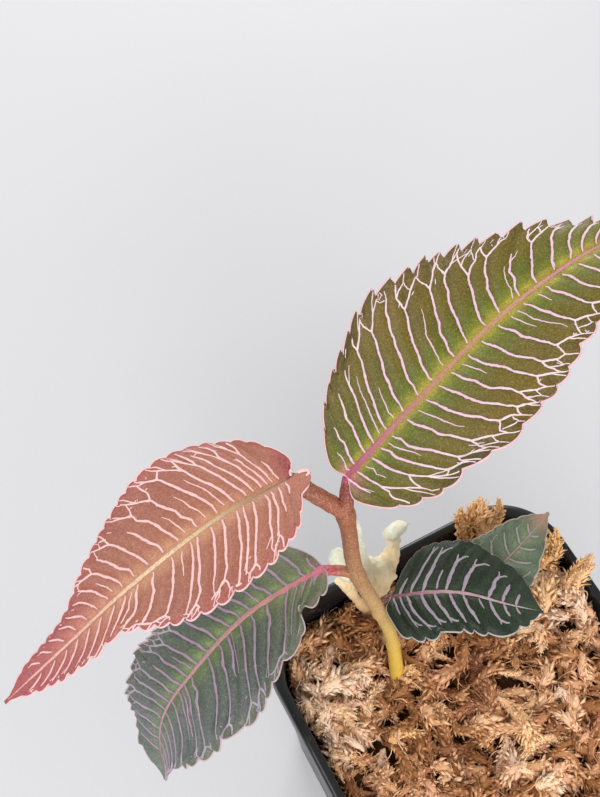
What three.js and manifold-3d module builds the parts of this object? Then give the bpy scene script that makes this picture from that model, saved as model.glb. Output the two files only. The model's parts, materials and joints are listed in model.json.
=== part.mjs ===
// A young labisia with five patterned leaves, growing in a small square pot filled with dried sphagnum.
// Millimetres, +Z up. The origin is the middle of the pot's flat base, and the pot's sides run along X and Y.

import * as THREE from 'three';
import { mergeVertices } from 'three/addons/utils/BufferGeometryUtils.js';
import Module from 'manifold-3d';

// Pot
const potHeight = 70;
const rimHalf = 37.5; // half the outer side at the rim
const wallTopHalf = 36.4; // half the side under the rim's lip
const baseHalf = 31;
const rimCorner = 15.5; // corner radius at the rim
const baseCorner = 12;
const wall = 1.1;
const floorThickness = 1.5;
const lipDrop = 6; // height of the rim's lip
const lipSlope = 0.4; // height of the lip's underside
const lipRound = 1.2; // height by which the lip has its full width
const rimEdge = 0.6; // chamfer on the outside of the rim
const innerEdge = 0.3; // and on its inside and under the lip
const potCornerPoints = 7; // points round each of its corners
const drainRadius = 4.5;
const drainPlace = 18;
const slotRadius = 2.5;
const slotPlace = 24;
const drillSides = 20;

// Clearance between pieces that touch
const gap = 0.3;

// Moss
const mossRings = 8;
const mossCorner = 5; // points round each corner of the pot
const mossLow = 58; // height by the back wall
const mossHigh = 65.5; // height by the right wall
const mossLump = 1.5;
const mossOverhang = 8; // how far strands may reach out over the rim
const mossReach = 30; // and how high they may stand above it
const strandCount = 50;
const strandRadius = 1.9;
const strandLength = 17;
const strandInset = 5; // between the strands' middles and the wall
const strandBend = 2.4; // range of a strand's turn, in radians
const strandArch = 1.4; // height of the flattest arch
const strandSink = 1.2; // how far the ends dip into the moss
const mossSeed = 20;

// Stem, from its buried end to the fork under the two top leaves
const stemPath = [
  [-12, 8.5, 38], [-11.9, 11.2, 52], [-11.5, 14, 63], [-11.1, 19.4, 75], [-12.8, 23.6, 84.5],
  [-16, 28.9, 98], [-16.3, 32.9, 111], [-16.6, 34.8, 118],
];
const stemRadii = [1.1, 1.4, 1.6, 1.55, 1.8, 1.75, 1.65, 1.85];

const stemSteps = 22;
const stemSides = 9;

// Blades. Shares are of the blade's length, from its base.
const bladeThickness = 0.9;
const quadsAcross = 8;
const baseRows = [0.0015, 0.012]; // the two rows of points before the even ones
const baseRounding = 0.1; // share in which the base rounds off
const tipHalf = 0.35;
const foldRise = 0.16; // how far each half is folded up, per millimetre of half width
const foldFall = 0.12; // how far it bows down again to the margin
const leanStart = 0.15; // share in which the veins come to lean forwards
const leanCurve = 1.4;
const lobeShare = 0.22; // share that the lobes at the base take up
const lobeStart = 0.004; // share in which they round off to the petiole
const lobeCurve = 1.5;
const puffReach = 0.96; // part of each half that is puffed up between the veins
const rippleStart = [1.1, 2.9]; // where the waves of the left and right margin begin, in radians
const fullTooth = 4; // half width at which teeth have their full size
const fullPuff = 5;
const fullRipple = 8;
const ribShares = [0.12, 0.35, 0.6, 0.88]; // the raised midrib under the blade
const ribRadii = [0.95, 0.8, 0.65, 0.45];
const ribDrop = 0.45;

// Each leaf: its petiole from the stem's axis, its midrib from base to tip, and its half widths,
// left and right of the midrib as seen on the way to the tip, at even steps from base to tip.
// Steadiness is how far the veins keep the whole blade's direction where the midrib bends.
// Lobe, tooth, quilt and wave are heights in millimetres.
const leaves = [
  {
    name: 'leaf_upper_left',
    colour: 0xa8695c,
    petiole: [[-16.5, 34.2, 115.6], [-19.4, 37, 121.4]],
    petioleRadius: [1.75, 1.7],
    midrib: [
      [-25, 40.6, 126.2], [-39.9, 40.5, 127.5], [-56.6, 37.9, 123.3], [-71.7, 36.9, 114.5], [-85.6, 35, 104],
    ],
    left: [7, 10.2, 13, 14.4, 13.4, 9.8, 6.8, 6, 4.4, 2.2, 0],
    right: [8.4, 11.4, 13.6, 14.4, 13.7, 11.6, 8.2, 5, 3.6, 2.4, 0],
    steadiness: 0.6,
    veins: 15,
    lean: 0.1,
    lobe: 2.4,
    tooth: 0.5,
    quilt: 0.45,
    wave: 0.8,
    waves: 3,
  },
  {
    name: 'leaf_upper_right',
    colour: 0x5d5a32,
    petiole: [[-16.5, 34.9, 118.2], [-15.9, 36.6, 121.6]],
    petioleRadius: [1.3, 1.25],
    midrib: [[-15.7, 38, 125.6], [1.1, 41.7, 135.1], [18.9, 45.4, 142.3], [37.6, 47.2, 147.2], [57, 46, 149]],
    left: [8, 11.4, 15.6, 18.4, 18.4, 16.4, 13.8, 10.2, 6, 2.6, 0],
    right: [11.6, 14.8, 17.4, 18, 17.6, 16.6, 14.4, 11.2, 7.6, 3.6, 0],
    steadiness: 0.6,
    veins: 16,
    lean: 0.1,
    lobe: 2.8,
    tooth: 0.8,
    quilt: 0.4,
    wave: 0.9,
    waves: 3.5,
  },
  {
    name: 'leaf_lower_left',
    colour: 0x5f6f60,
    petiole: [[-15.8, 28.6, 97.2], [-18.8, 30.4, 98.6]],
    petioleRadius: [1.25, 1.1],
    midrib: [
      [-22.1, 31.9, 99], [-37.2, 31, 98.7], [-51.2, 28.7, 92.8], [-62.4, 24.1, 83.7], [-65.7, 16.6, 71],
    ],
    left: [4.6, 7.2, 9.8, 12.2, 14, 14.2, 13.2, 12.2, 10, 6.2, 0],
    right: [6, 9, 11.2, 12, 12.2, 11.8, 11, 8.8, 6, 3.2, 0],
    steadiness: 0.9,
    veins: 14,
    lean: 0.09,
    lobe: 2,
    tooth: 0.8,
    quilt: 0.6,
    wave: 1.1,
    waves: 4,
  },
  {
    name: 'leaf_lower_right',
    colour: 0x2f3a33,
    petiole: [[-12.7, 23.5, 83.6], [-10.8, 24.4, 85]],
    petioleRadius: [1.2, 1],
    midrib: [[-9.3, 24.2, 86], [-2.2, 21.3, 88.2], [4.9, 16.8, 88.2], [11.8, 11.8, 86], [18.4, 7.2, 82]],
    left: [5, 7.6, 9.4, 10.4, 10.8, 10.9, 10.5, 9.2, 7, 4, 0],
    right: [6, 8.6, 9.6, 9.6, 9.2, 8.8, 8.4, 7.6, 5.9, 3.2, 0],
    steadiness: 0.6,
    veins: 9,
    lean: 0.12,
    lobe: 1.2,
    tooth: 0.5,
    quilt: 0.45,
    wave: 0.5,
    waves: 2.5,
  },
  {
    name: 'leaf_back',
    colour: 0x6f7d6c,
    petiole: [[-11.3, 18.6, 72.6], [-6.4, 19.5, 74.6]],
    petioleRadius: [1.1, 1],
    midrib: [[-1.8, 19.8, 76.4], [7, 19.5, 78.6], [15.9, 20.4, 80], [24.7, 22.8, 80.6], [33.2, 25.8, 80.4]],
    left: [3.5, 5.4, 6.8, 7.6, 7.9, 7.8, 7, 6.2, 4.7, 2.7, 0],
    right: [3.5, 5.4, 6.8, 7.6, 7.9, 7.8, 7.2, 5.8, 4, 2.2, 0],
    steadiness: 0.6,
    veins: 9,
    lean: 0.1,
    lobe: 1,
    tooth: 0.4,
    quilt: 0.35,
    wave: 0.5,
    waves: 2.5,
  },
];

// The pale clump behind the stem: each strand's path and its radius along it
const paleStrands = [
  {
    path: [[-5.8, 26.8, 46], [-5.6, 28.5, 56], [-5.5, 30.4, 66], [-4.8, 33.5, 72.5], [-2.3, 35.5, 75]],
    radii: [2.2, 2.8, 3.8, 3.9, 2.6],
  },
  {
    path: [[-3.4, 34.6, 72], [-0.5, 36.4, 75.5], [-1.9, 38.2, 81], [0.6, 38.8, 83], [5.1, 38.6, 79]],
    radii: [2.8, 1.6, 2, 1.6, 0.8],
  },
  {
    path: [[-6.2, 31.6, 69], [-12, 35.1, 78], [-14.3, 38.2, 82]],
    radii: [3.2, 2.5, 1.1],
  },
  {
    path: [[-6.4, 32.6, 71], [-8, 34.8, 76], [-7.4, 37.9, 84], [-6.8, 41, 90]],
    radii: [2.2, 1.7, 1.3, 0.8],
  },
  {
    path: [[-6.2, 28.4, 53], [-10.8, 31, 64], [-13.1, 34.3, 71], [-14.8, 36.9, 74]],
    radii: [2.4, 1.9, 1.7, 1],
  },
];

// Strands of the moss that stand up at the back rim and the right rim
const raisedStrands = [
  {
    path: [[7, 31, 56], [8.9, 32.6, 64], [13.1, 32.5, 70], [16.6, 34.2, 75], [15.9, 37, 78]],
    radii: [2, 2.4, 2.7, 2.4, 1.2],
  },
  {
    path: [[19, 30, 60], [21.4, 31.3, 66], [24.6, 32.5, 72], [27.2, 34, 76]],
    radii: [2.4, 2.4, 2.2, 1.2],
  },
  {
    path: [[8, 31, 57], [6.8, 33, 64], [4.9, 34.6, 70], [8.1, 36.4, 74]],
    radii: [2.2, 2, 1.7, 0.9],
  },
  {
    path: [[26, 10, 62], [30.9, 11.1, 68], [33.7, 12.1, 73], [37.4, 12.4, 76]],
    radii: [2.4, 2.4, 2, 1],
  },
  {
    path: [[28, 17, 62], [31.2, 19.1, 68], [32.9, 20.7, 73], [34.4, 22.4, 76]],
    radii: [2.2, 2, 1.7, 0.9],
  },
];

const wasm = await Module();
wasm.setup();

function toManifold(geometry) {
  const bare = geometry.clone();
  bare.deleteAttribute('normal');
  bare.deleteAttribute('uv');
  const merged = mergeVertices(bare, 1e-4);
  return new wasm.Manifold(new wasm.Mesh({
    numProp: 3,
    vertProperties: new Float32Array(merged.attributes.position.array),
    triVerts: new Uint32Array(merged.index.array),
  }));
}

function toGeometry(solid) {
  const mesh = solid.getMesh();
  const geometry = new THREE.BufferGeometry();
  geometry.setAttribute('position', new THREE.BufferAttribute(new Float32Array(mesh.vertProperties), 3));
  geometry.setIndex(new THREE.BufferAttribute(new Uint32Array(mesh.triVerts), 1));
  geometry.computeVertexNormals();
  return geometry;
}

// The largest of the separate bodies that a cut leaves
function mainBody(solid) {
  return solid.decompose().reduce((best, body) => (body.volume() > best.volume() ? body : best));
}

function random(seed) {
  let state = seed;
  return () => {
    state = (state * 1664525 + 1013904223) % 4294967296;
    return state / 4294967296;
  };
}

const vector = (point) => new THREE.Vector3(...point);

// A value read off an evenly spaced list, smoothly between its entries
function smoothAt(values, share) {
  const place = Math.min(Math.max(share, 0), 1) * (values.length - 1);
  const i = Math.min(Math.floor(place), values.length - 2);
  const t = place - i;
  const before = values[Math.max(i - 1, 0)];
  const after = values[Math.min(i + 2, values.length - 1)];
  const slopeIn = (values[i + 1] - before) / 2;
  const slopeOut = (after - values[i]) / 2;
  const bend = values[i + 1] - values[i];
  const cubic = slopeIn + slopeOut - 2 * bend;
  return values[i] + t * (slopeIn + t * (3 * bend - 2 * slopeIn - slopeOut + t * cubic));
}

// A closed skin over rings of equal length, with a flat fan at each end
function skin(rings) {
  const count = rings[0].length;
  const positions = rings.flat().flatMap((point) => point.toArray());
  const index = [];
  for (let r = 0; r < rings.length - 1; r++) {
    for (let i = 0; i < count; i++) {
      const a = r * count + i;
      const b = r * count + (i + 1) % count;
      index.push(a, b, b + count, a, b + count, a + count);
    }
  }
  const last = (rings.length - 1) * count;
  for (let i = 1; i < count - 1; i++) {
    index.push(0, i + 1, i);
    index.push(last, last + i, last + i + 1);
  }
  const geometry = new THREE.BufferGeometry();
  geometry.setAttribute('position', new THREE.Float32BufferAttribute(positions, 3));
  geometry.setIndex(index);
  return geometry;
}

const endLength = 0.5; // the rounded ends of tubes, as shares of the radius there
const endRadius = 0.55;

// A round tube whose radius changes along its path, with rounded ends
function taperedTube(path, radii, steps, sides, grow = 0) {
  const curve = new THREE.CatmullRomCurve3(path.map(vector), false, 'catmullrom', 0.5);
  const frames = curve.computeFrenetFrames(steps, false);
  const rings = [];
  const ring = (centre, i, radius) => {
    const points = [];
    for (let s = 0; s < sides; s++) {
      const angle = (2 * Math.PI * s) / sides;
      points.push(centre.clone()
        .addScaledVector(frames.normals[i], radius * Math.cos(angle))
        .addScaledVector(frames.binormals[i], radius * Math.sin(angle)));
    }
    rings.push(points);
  };
  for (let i = 0; i <= steps; i++) {
    const radius = smoothAt(radii, curve.getUtoTmapping(i / steps)) + grow;
    const centre = curve.getPointAt(i / steps);
    const outward = frames.tangents[i].clone().multiplyScalar(radius * endLength);
    if (i === 0) ring(centre.clone().sub(outward), i, radius * endRadius);
    ring(centre, i, radius);
    if (i === steps) ring(centre.clone().add(outward), i, radius * endRadius);
  }
  return toManifold(skin(rings));
}

// A square ring with rounded corners, at one height
function squareRing(half, corner, z, perCorner) {
  const points = [];
  const centre = half - corner;
  for (let c = 0; c < 4; c++) {
    const sign = [[1, 1], [-1, 1], [-1, -1], [1, -1]][c];
    for (let i = 0; i < perCorner; i++) {
      const angle = (Math.PI / 2) * (c + i / (perCorner - 1));
      const x = sign[0] * centre + corner * Math.cos(angle);
      const y = sign[1] * centre + corner * Math.sin(angle);
      points.push(new THREE.Vector3(x, y, z));
    }
  }
  return points;
}

const wallHalf = (z) => baseHalf + ((wallTopHalf - baseHalf) * z) / potHeight;
const wallCorner = (z) => baseCorner + ((rimCorner - baseCorner) * z) / potHeight;

function makePot() {
  const lipFoot = potHeight - lipDrop;
  const ring = (half, z) => squareRing(half, wallCorner(z), z, potCornerPoints);
  const outside = [
    ring(baseHalf, 0),
    ring(wallHalf(lipFoot), lipFoot),
    ring(rimHalf - innerEdge, lipFoot + lipSlope),
    ring(rimHalf, lipFoot + lipRound),
    ring(rimHalf, potHeight - rimEdge),
    ring(rimHalf - rimEdge, potHeight),
  ];
  const inside = [
    ring(wallTopHalf - wall + innerEdge, potHeight),
    ring(wallTopHalf - wall, potHeight - innerEdge),
    ring(wallHalf(floorThickness) - wall, floorThickness),
  ];
  let pot = toManifold(skin([...outside, ...inside]));
  for (const [x, y, radius] of drainHoles()) {
    const drill = new THREE.CylinderGeometry(radius, radius, 3 * floorThickness, drillSides);
    drill.rotateX(Math.PI / 2);
    drill.translate(x, y, floorThickness / 2);
    pot = pot.subtract(toManifold(drill));
  }
  return pot;
}

// One wide hole near each corner of the base and a small one near the middle of each side
function drainHoles() {
  const holes = [];
  for (let i = 0; i < 4; i++) {
    const angle = (Math.PI / 2) * i;
    const corner = angle + Math.PI / 4;
    const reach = drainPlace * Math.SQRT2;
    holes.push([reach * Math.cos(corner), reach * Math.sin(corner), drainRadius]);
    holes.push([slotPlace * Math.cos(angle), slotPlace * Math.sin(angle), slotRadius]);
  }
  return holes;
}

// The moss lies low at the back-left wall and rises to the right and the front, in soft lumps
function mossHeight(x, y) {
  const rise = (x - y) / (4 * wallTopHalf) + 0.5;
  const lumps = Math.sin(0.31 * x + 1.3) * Math.cos(0.27 * y + 0.4) + 0.6 * Math.sin(0.53 * x - 0.47 * y);
  return mossLow + (mossHigh - mossLow) * rise + mossLump * lumps;
}

function makeMossCore() {
  const insideHalf = (z) => wallHalf(z) - wall - gap;
  const ringAt = (share) => squareRing(insideHalf(mossLow) * share, rimCorner * share, 0, mossCorner)
    .map((point) => point.setZ(mossHeight(point.x, point.y)));
  const foot = floorThickness + gap;
  const rings = [squareRing(insideHalf(foot), wallCorner(foot), foot, mossCorner)];
  for (let r = 0; r < mossRings; r++) rings.push(ringAt(1 - r / mossRings));
  return toManifold(skin(rings));
}

// The space that strands may fill: inside the pot's wall, and above the rim a little beyond it
function mossRoom() {
  const foot = floorThickness + gap;
  const rim = potHeight + gap;
  const half = (z) => wallHalf(z) - wall - gap;
  return toManifold(skin([
    squareRing(half(foot), wallCorner(foot), foot, potCornerPoints),
    squareRing(half(potHeight), rimCorner, rim, potCornerPoints),
    squareRing(half(potHeight) + mossOverhang, rimCorner, rim, potCornerPoints),
    squareRing(half(potHeight) + mossOverhang, rimCorner, rim + mossReach, potCornerPoints),
  ]));
}

function makeMossStrands() {
  const next = random(mossSeed);
  const strands = [];
  const span = 2 * (wallTopHalf - strandInset);
  for (let i = 0; i < strandCount; i++) {
    const x = (next() - 0.5) * span;
    const y = (next() - 0.5) * span;
    const heading = next() * 2 * Math.PI;
    const bend = (next() - 0.5) * strandBend;
    const length = strandLength * (0.7 + 0.6 * next());
    const radius = strandRadius * (0.75 + 0.5 * next());
    const arch = strandArch * (1 + next());
    const path = [];
    for (let k = 0; k <= 4; k++) {
      const t = k / 4 - 0.5;
      const angle = heading + bend * t;
      const px = x + length * t * Math.cos(angle);
      const py = y + length * t * Math.sin(angle);
      const lift = arch * (1 - 8 * t * t) - (k === 0 || k === 4 ? strandSink : 0);
      path.push([px, py, mossHeight(px, py) + lift]);
    }
    strands.push(taperedTube(path, [radius * 0.7, radius, radius * 1.1, radius, radius * 0.6], 4, 4));
  }
  for (const { path, radii } of raisedStrands) strands.push(taperedTube(path, radii, 4, 6));
  return strands;
}

const makeStem = (grow) => taperedTube(stemPath, stemRadii, stemSteps, stemSides, grow);

function makePaleClump(grow) {
  const strands = paleStrands.map(({ path, radii }) => taperedTube(path, radii, 7, 7, grow));
  return wasm.Manifold.union(strands).intersect(mossRoom());
}

function makeMoss() {
  const filled = wasm.Manifold.union([makeMossCore(), ...makeMossStrands()]).intersect(mossRoom());
  return mainBody(filled.subtract(makeStem(gap)).subtract(makePaleClump(gap)));
}

// The direction across the blade and the direction out of its upper face, at a share of the midrib
function bladeFrame(leaf, share) {
  const ahead = leaf.curve.getTangent(share);
  const steady = ahead.clone().lerp(leaf.chord, leaf.steadiness);
  const side = new THREE.Vector3().crossVectors(steady, new THREE.Vector3(0, 0, 1)).normalize();
  const normal = new THREE.Vector3().crossVectors(side, ahead).normalize();
  return { ahead, side, normal };
}

// A point of the blade's middle layer. Along runs from base to tip, across from -1 at the left margin to 1.
// Lines of equal along follow the lateral veins, which lean towards the tip on their way to the margin.
function bladePoint(leaf, along, across, panel) {
  const reach = Math.abs(across);
  const lean = leaf.lean * Math.min(1, along / leanStart) * (1 - along);
  const share = Math.min(along + lean * reach ** leanCurve, 1);
  const { ahead, side, normal } = bladeFrame(leaf, share);
  const rounding = Math.sqrt(1 - (1 - Math.min(share / baseRounding, 1)) ** 2);
  const half = Math.max(smoothAt(across < 0 ? leaf.left : leaf.right, share) * rounding, tipHalf);
  const tooth = reach === 1 ? leaf.tooth * (panel ? -0.5 : 0.5) * Math.min(1, half / fullTooth) : 0;
  const swell = panel ? Math.sqrt(Math.sin(Math.PI * Math.min(reach, puffReach))) : 0;
  const puff = leaf.quilt * swell * Math.min(1, half / fullPuff);
  const wave = Math.sin(2 * Math.PI * leaf.waves * along + rippleStart[across < 0 ? 0 : 1]);
  const ripple = leaf.wave * reach ** 3 * wave * Math.min(1, half / fullRipple);
  const lift = half * (foldRise * reach - foldFall * reach * reach) + puff + ripple;
  const lobe = leaf.lobe * Math.max(0, 1 - share / lobeShare) * (1 - Math.exp(-share / lobeStart));
  const back = lobe * reach ** lobeCurve;
  return leaf.curve.getPoint(share)
    .addScaledVector(side, half * across + Math.sign(across) * tooth)
    .addScaledVector(normal, lift)
    .addScaledVector(ahead, tooth - back);
}

// A thin blade split into the same triangles above and below
function makeBlade(leaf) {
  const even = 2 * leaf.veins;
  const rows = [...baseRows, ...Array.from({ length: even }, (_, i) => (i + 1) / even)];
  const stations = rows.length - 1;
  const row = quadsAcross + 1;
  const sheet = (offset) => {
    const points = [];
    rows.forEach((along, i) => {
      const { normal } = bladeFrame(leaf, along);
      for (let j = 0; j < row; j++) {
        const across = (2 * j) / quadsAcross - 1;
        points.push(bladePoint(leaf, along, across, i > 1 && i % 2 === 0).addScaledVector(normal, offset));
      }
    });
    return points;
  };
  const positions = [...sheet(bladeThickness / 2), ...sheet(-bladeThickness / 2)].flatMap((p) => p.toArray());
  const under = (stations + 1) * row;
  const index = [];
  for (let i = 0; i < stations; i++) {
    for (let j = 0; j < quadsAcross; j++) {
      const a = i * row + j;
      const b = a + 1;
      const c = b + row;
      const d = a + row;
      const split = j < quadsAcross / 2 ? [a, b, c, a, c, d] : [a, b, d, b, c, d];
      index.push(...split);
      for (let k = 0; k < 6; k += 3) {
        index.push(split[k] + under, split[k + 2] + under, split[k + 1] + under);
      }
    }
  }
  const wallBetween = (a, b) => index.push(a, a + under, b + under, a, b + under, b);
  for (let i = 0; i < stations; i++) {
    wallBetween((i + 1) * row, i * row);
    wallBetween(i * row + quadsAcross, (i + 1) * row + quadsAcross);
  }
  for (let j = 0; j < quadsAcross; j++) {
    wallBetween(j, j + 1);
    wallBetween(stations * row + j + 1, stations * row + j);
  }
  const geometry = new THREE.BufferGeometry();
  geometry.setAttribute('position', new THREE.Float32BufferAttribute(positions, 3));
  geometry.setIndex(index);
  return toManifold(geometry);
}

// The petiole, running on under the blade as its raised midrib
function makeRib(leaf, grow = 0) {
  const ribPoints = ribShares.map((share) => {
    const { normal } = bladeFrame(leaf, share);
    return leaf.curve.getPoint(share).addScaledVector(normal, -ribDrop).toArray();
  });
  const [first, second] = leaf.petioleRadius;
  const path = [...leaf.petiole, leaf.midrib[0], ...ribPoints];
  return taperedTube(path, [first, second, second * 0.85, ...ribRadii], 13, 6, grow);
}

function makeLeaf(leaf) {
  return makeBlade(leaf).add(makeRib(leaf)).subtract(makeStem(gap));
}

const group = new THREE.Group();

function addPiece(name, solid, colour, roughness) {
  const material = new THREE.MeshStandardMaterial({ color: colour, roughness, metalness: 0 });
  const mesh = new THREE.Mesh(toGeometry(solid), material);
  mesh.name = name;
  group.add(mesh);
}

for (const leaf of leaves) {
  leaf.curve = new THREE.CatmullRomCurve3(leaf.midrib.map(vector), false, 'catmullrom', 0.5);
  leaf.chord = vector(leaf.midrib.at(-1)).sub(vector(leaf.midrib[0])).normalize();
}

addPiece('pot', makePot(), 0x17181a, 0.45);
addPiece('moss', makeMoss(), 0xb08a63, 1);
addPiece('moss_pale_strands', makePaleClump(0), 0xe3d3b0, 0.9);
addPiece('stem', makeStem(0), 0x9a6a4c, 0.6);
for (const leaf of leaves) {
  let solid = makeLeaf(leaf);
  if (leaf.name === 'leaf_upper_right') solid = solid.subtract(makeRib(leaves[0], gap));
  addPiece(leaf.name, mainBody(solid), leaf.colour, 0.5);
}

export default group;
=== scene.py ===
import json
import math
import bpy
import numpy as np
from mathutils import Matrix, Vector

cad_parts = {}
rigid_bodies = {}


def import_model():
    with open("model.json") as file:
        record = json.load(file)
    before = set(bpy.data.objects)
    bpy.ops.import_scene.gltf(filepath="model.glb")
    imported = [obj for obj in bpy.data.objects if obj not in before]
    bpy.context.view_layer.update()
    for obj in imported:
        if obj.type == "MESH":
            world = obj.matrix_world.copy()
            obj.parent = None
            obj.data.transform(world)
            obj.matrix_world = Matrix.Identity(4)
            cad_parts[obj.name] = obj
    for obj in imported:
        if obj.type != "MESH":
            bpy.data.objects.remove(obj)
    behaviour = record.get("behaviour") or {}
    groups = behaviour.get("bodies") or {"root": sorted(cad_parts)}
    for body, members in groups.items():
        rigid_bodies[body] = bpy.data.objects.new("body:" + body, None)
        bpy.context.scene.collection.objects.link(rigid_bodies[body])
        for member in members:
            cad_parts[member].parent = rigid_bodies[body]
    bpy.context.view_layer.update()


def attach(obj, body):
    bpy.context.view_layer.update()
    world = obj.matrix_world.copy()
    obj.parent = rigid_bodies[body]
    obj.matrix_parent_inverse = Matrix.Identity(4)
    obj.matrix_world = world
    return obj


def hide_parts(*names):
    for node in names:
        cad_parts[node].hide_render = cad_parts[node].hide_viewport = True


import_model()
mm = 0.001  # the tables below are in millimetres


# Small helpers for meshes

def meshPiece(name, points, faces=(), edges=(), smooth=True):
    mesh = bpy.data.meshes.new(name)
    places = (np.asarray(points, float) * mm).tolist()
    mesh.from_pydata(places, [tuple(edge) for edge in edges], [tuple(face) for face in faces])
    mesh.update()
    if smooth and len(faces):
        smoothAll(mesh)
    piece = bpy.data.objects.new(name, mesh)
    bpy.context.scene.collection.objects.link(piece)
    return piece


def storeValues(mesh, name, values):  # one number for each point, or one vector
    vectors = np.ndim(values) > 1
    layer = mesh.attributes.new(name, "FLOAT_VECTOR" if vectors else "FLOAT", "POINT")
    layer.data.foreach_set("vector" if vectors else "value", np.asarray(values, np.float32).ravel())


def meshPoints(mesh):
    points = np.zeros(len(mesh.vertices) * 3)
    mesh.vertices.foreach_get("co", points)
    return points.reshape(-1, 3)


def smoothAll(mesh):
    mesh.polygons.foreach_set("use_smooth", [True] * len(mesh.polygons))


def signedVolume(mesh):
    mesh.calc_loop_triangles()
    corners = np.zeros(len(mesh.loop_triangles) * 3, int)
    mesh.loop_triangles.foreach_get("vertices", corners)
    tri = meshPoints(mesh)[corners.reshape(-1, 3)]
    return np.einsum("ij,ij->i", tri[:, 0], np.cross(tri[:, 1], tri[:, 2])).sum() / 6


def keepOutward(mesh):
    if signedVolume(mesh) < 0:
        mesh.flip_normals()


def bakeModifiers(piece):  # keeps what the modifiers make as the piece's plain mesh
    old = piece.data
    mesh = bpy.data.meshes.new_from_object(piece.evaluated_get(bpy.context.evaluated_depsgraph_get()))
    piece.modifiers.clear()
    piece.data = mesh
    bpy.data.meshes.remove(old)
    return mesh


def shellFaces(ringCount, count, start=0):  # the walls and both caps of a closed shell through rings of points
    faces = []
    for r in range(ringCount - 1):
        low, high = start + r * count, start + (r + 1) * count
        faces += [(low + i, low + (i + 1) % count, high + (i + 1) % count, high + i) for i in range(count)]
    last = start + (ringCount - 1) * count
    return faces + [tuple(range(start + count - 1, start - 1, -1)), tuple(range(last, last + count))]


def shellPiece(name, rings):
    points = [point for ring in rings for point in ring]
    piece = meshPiece(name, points, shellFaces(len(rings), len(rings[0])))
    keepOutward(piece.data)
    return piece


def setMaterial(piece, material):
    piece.data.materials.clear()
    piece.data.materials.append(material)


def declare(piece, slotName, *nodes):
    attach(piece, "root")
    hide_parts(*nodes)


def smoothAt(values, share):  # a value read off an evenly spaced list, smoothly
    values = np.asarray(values, float)
    place = np.clip(share, 0, 1) * (len(values) - 1)
    i = np.minimum(np.floor(place).astype(int), len(values) - 2)
    t = place - i
    if values.ndim > 1:
        t = t[..., None]
    before = values[np.maximum(i - 1, 0)]
    after = values[np.minimum(i + 2, len(values) - 1)]
    slopeIn, slopeOut = (values[i + 1] - before) / 2, (after - values[i]) / 2
    bend = values[i + 1] - values[i]
    return values[i] + t * (slopeIn + t * (3 * bend - 2 * slopeIn - slopeOut + t * (slopeIn + slopeOut - 2 * bend)))


def curveAt(points, share):  # the smooth curve through points
    points = np.asarray(points, float)
    ends = np.vstack([2 * points[0] - points[1], points, 2 * points[-1] - points[-2]])
    place = np.clip(share, 0, 1) * (len(points) - 1)
    i = np.minimum(np.floor(place).astype(int), len(points) - 2)
    t = (place - i)[..., None]
    a, b, c, d = ends[i], ends[i + 1], ends[i + 2], ends[i + 3]
    return 0.5 * (2 * b + (c - a) * t + (2 * a - 5 * b + 4 * c - d) * t ** 2 + (3 * b - a - 3 * c + d) * t ** 3)


def unit(vectors):
    return vectors / np.maximum(np.linalg.norm(vectors, axis=-1, keepdims=True), 1e-9)


def headingAt(points, share):
    step = 0.001
    return unit(curveAt(points, np.minimum(share + step, 1)) - curveAt(points, np.maximum(share - step, 0)))


def ease(value, low, high):
    t = np.clip((value - low) / (high - low), 0, 1)
    return t * t * (3 - 2 * t)


# Small helpers for node trees

def put(tree, kind, inputs=None, **settings):
    node = tree.nodes.new(kind)
    for key, value in settings.items():
        setattr(node, key, value)
    for key, value in (inputs or {}).items():
        if isinstance(value, bpy.types.NodeSocket):
            tree.links.new(value, node.inputs[key])
        else:
            node.inputs[key].default_value = value
    return node


def tint(red, green, blue):  # a screen colour, 0 to 255, as linear light
    share = [c / 255 for c in (red, green, blue)]
    return tuple(c / 12.92 if c <= 0.04045 else ((c + 0.055) / 1.055) ** 2.4 for c in share) + (1.0,)


def calc(tree, kind, first, second, clamp=False):
    return put(tree, "ShaderNodeMath", {0: first, 1: second}, operation=kind, use_clamp=clamp).outputs[0]


def times(tree, first, second):
    return calc(tree, "MULTIPLY", first, second)


def plus(tree, first, second):
    return calc(tree, "ADD", first, second)


def swing(tree, noise, size):  # a noise from 0 to 1 as a swing to either side of 0
    return times(tree, calc(tree, "SUBTRACT", noise, 0.5), size)


def mixTint(tree, share, first, second):
    return put(tree, "ShaderNodeMix", {0: share, 6: first, 7: second}, data_type="RGBA").outputs[2]


def layTint(tree, colour, share, over):  # a screen colour laid over the colour so far
    return mixTint(tree, share, colour, tint(*over))


def ramp(tree, share, stops):  # stops: (place, screen colour)
    node = put(tree, "ShaderNodeValToRGB", {0: share})
    marks = node.color_ramp.elements
    while len(marks) < len(stops):
        marks.new(0.5)
    for mark, (place, colour) in zip(marks, sorted(stops)):
        mark.position, mark.color = place, tint(*colour)
    return node.outputs[0]


def spread(tree, value, low, high, first=0.0, last=1.0):
    inputs = {0: value, 1: low, 2: high, 3: first, 4: last}
    return put(tree, "ShaderNodeMapRange", inputs, interpolation_type="SMOOTHSTEP").outputs[0]


def readValues(tree, *names):
    return [put(tree, "ShaderNodeAttribute", attribute_name=name).outputs["Fac"] for name in names]


def grain(tree, place, scale, detail=3.0, roughness=0.6):
    inputs = {"Vector": place, "Scale": scale, "Detail": detail, "Roughness": roughness}
    return put(tree, "ShaderNodeTexNoise", inputs).outputs[0]


def cellDistance(tree, place, scale, feature="F1"):
    return put(tree, "ShaderNodeTexVoronoi", {"Vector": place, "Scale": scale}, feature=feature).outputs[0]


def heightOf(tree, place):
    return put(tree, "ShaderNodeSeparateXYZ", {0: place}).outputs[2]


def stretch(tree, place, scale):
    return put(tree, "ShaderNodeMapping", {"Vector": place, "Scale": scale}).outputs[0]


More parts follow.
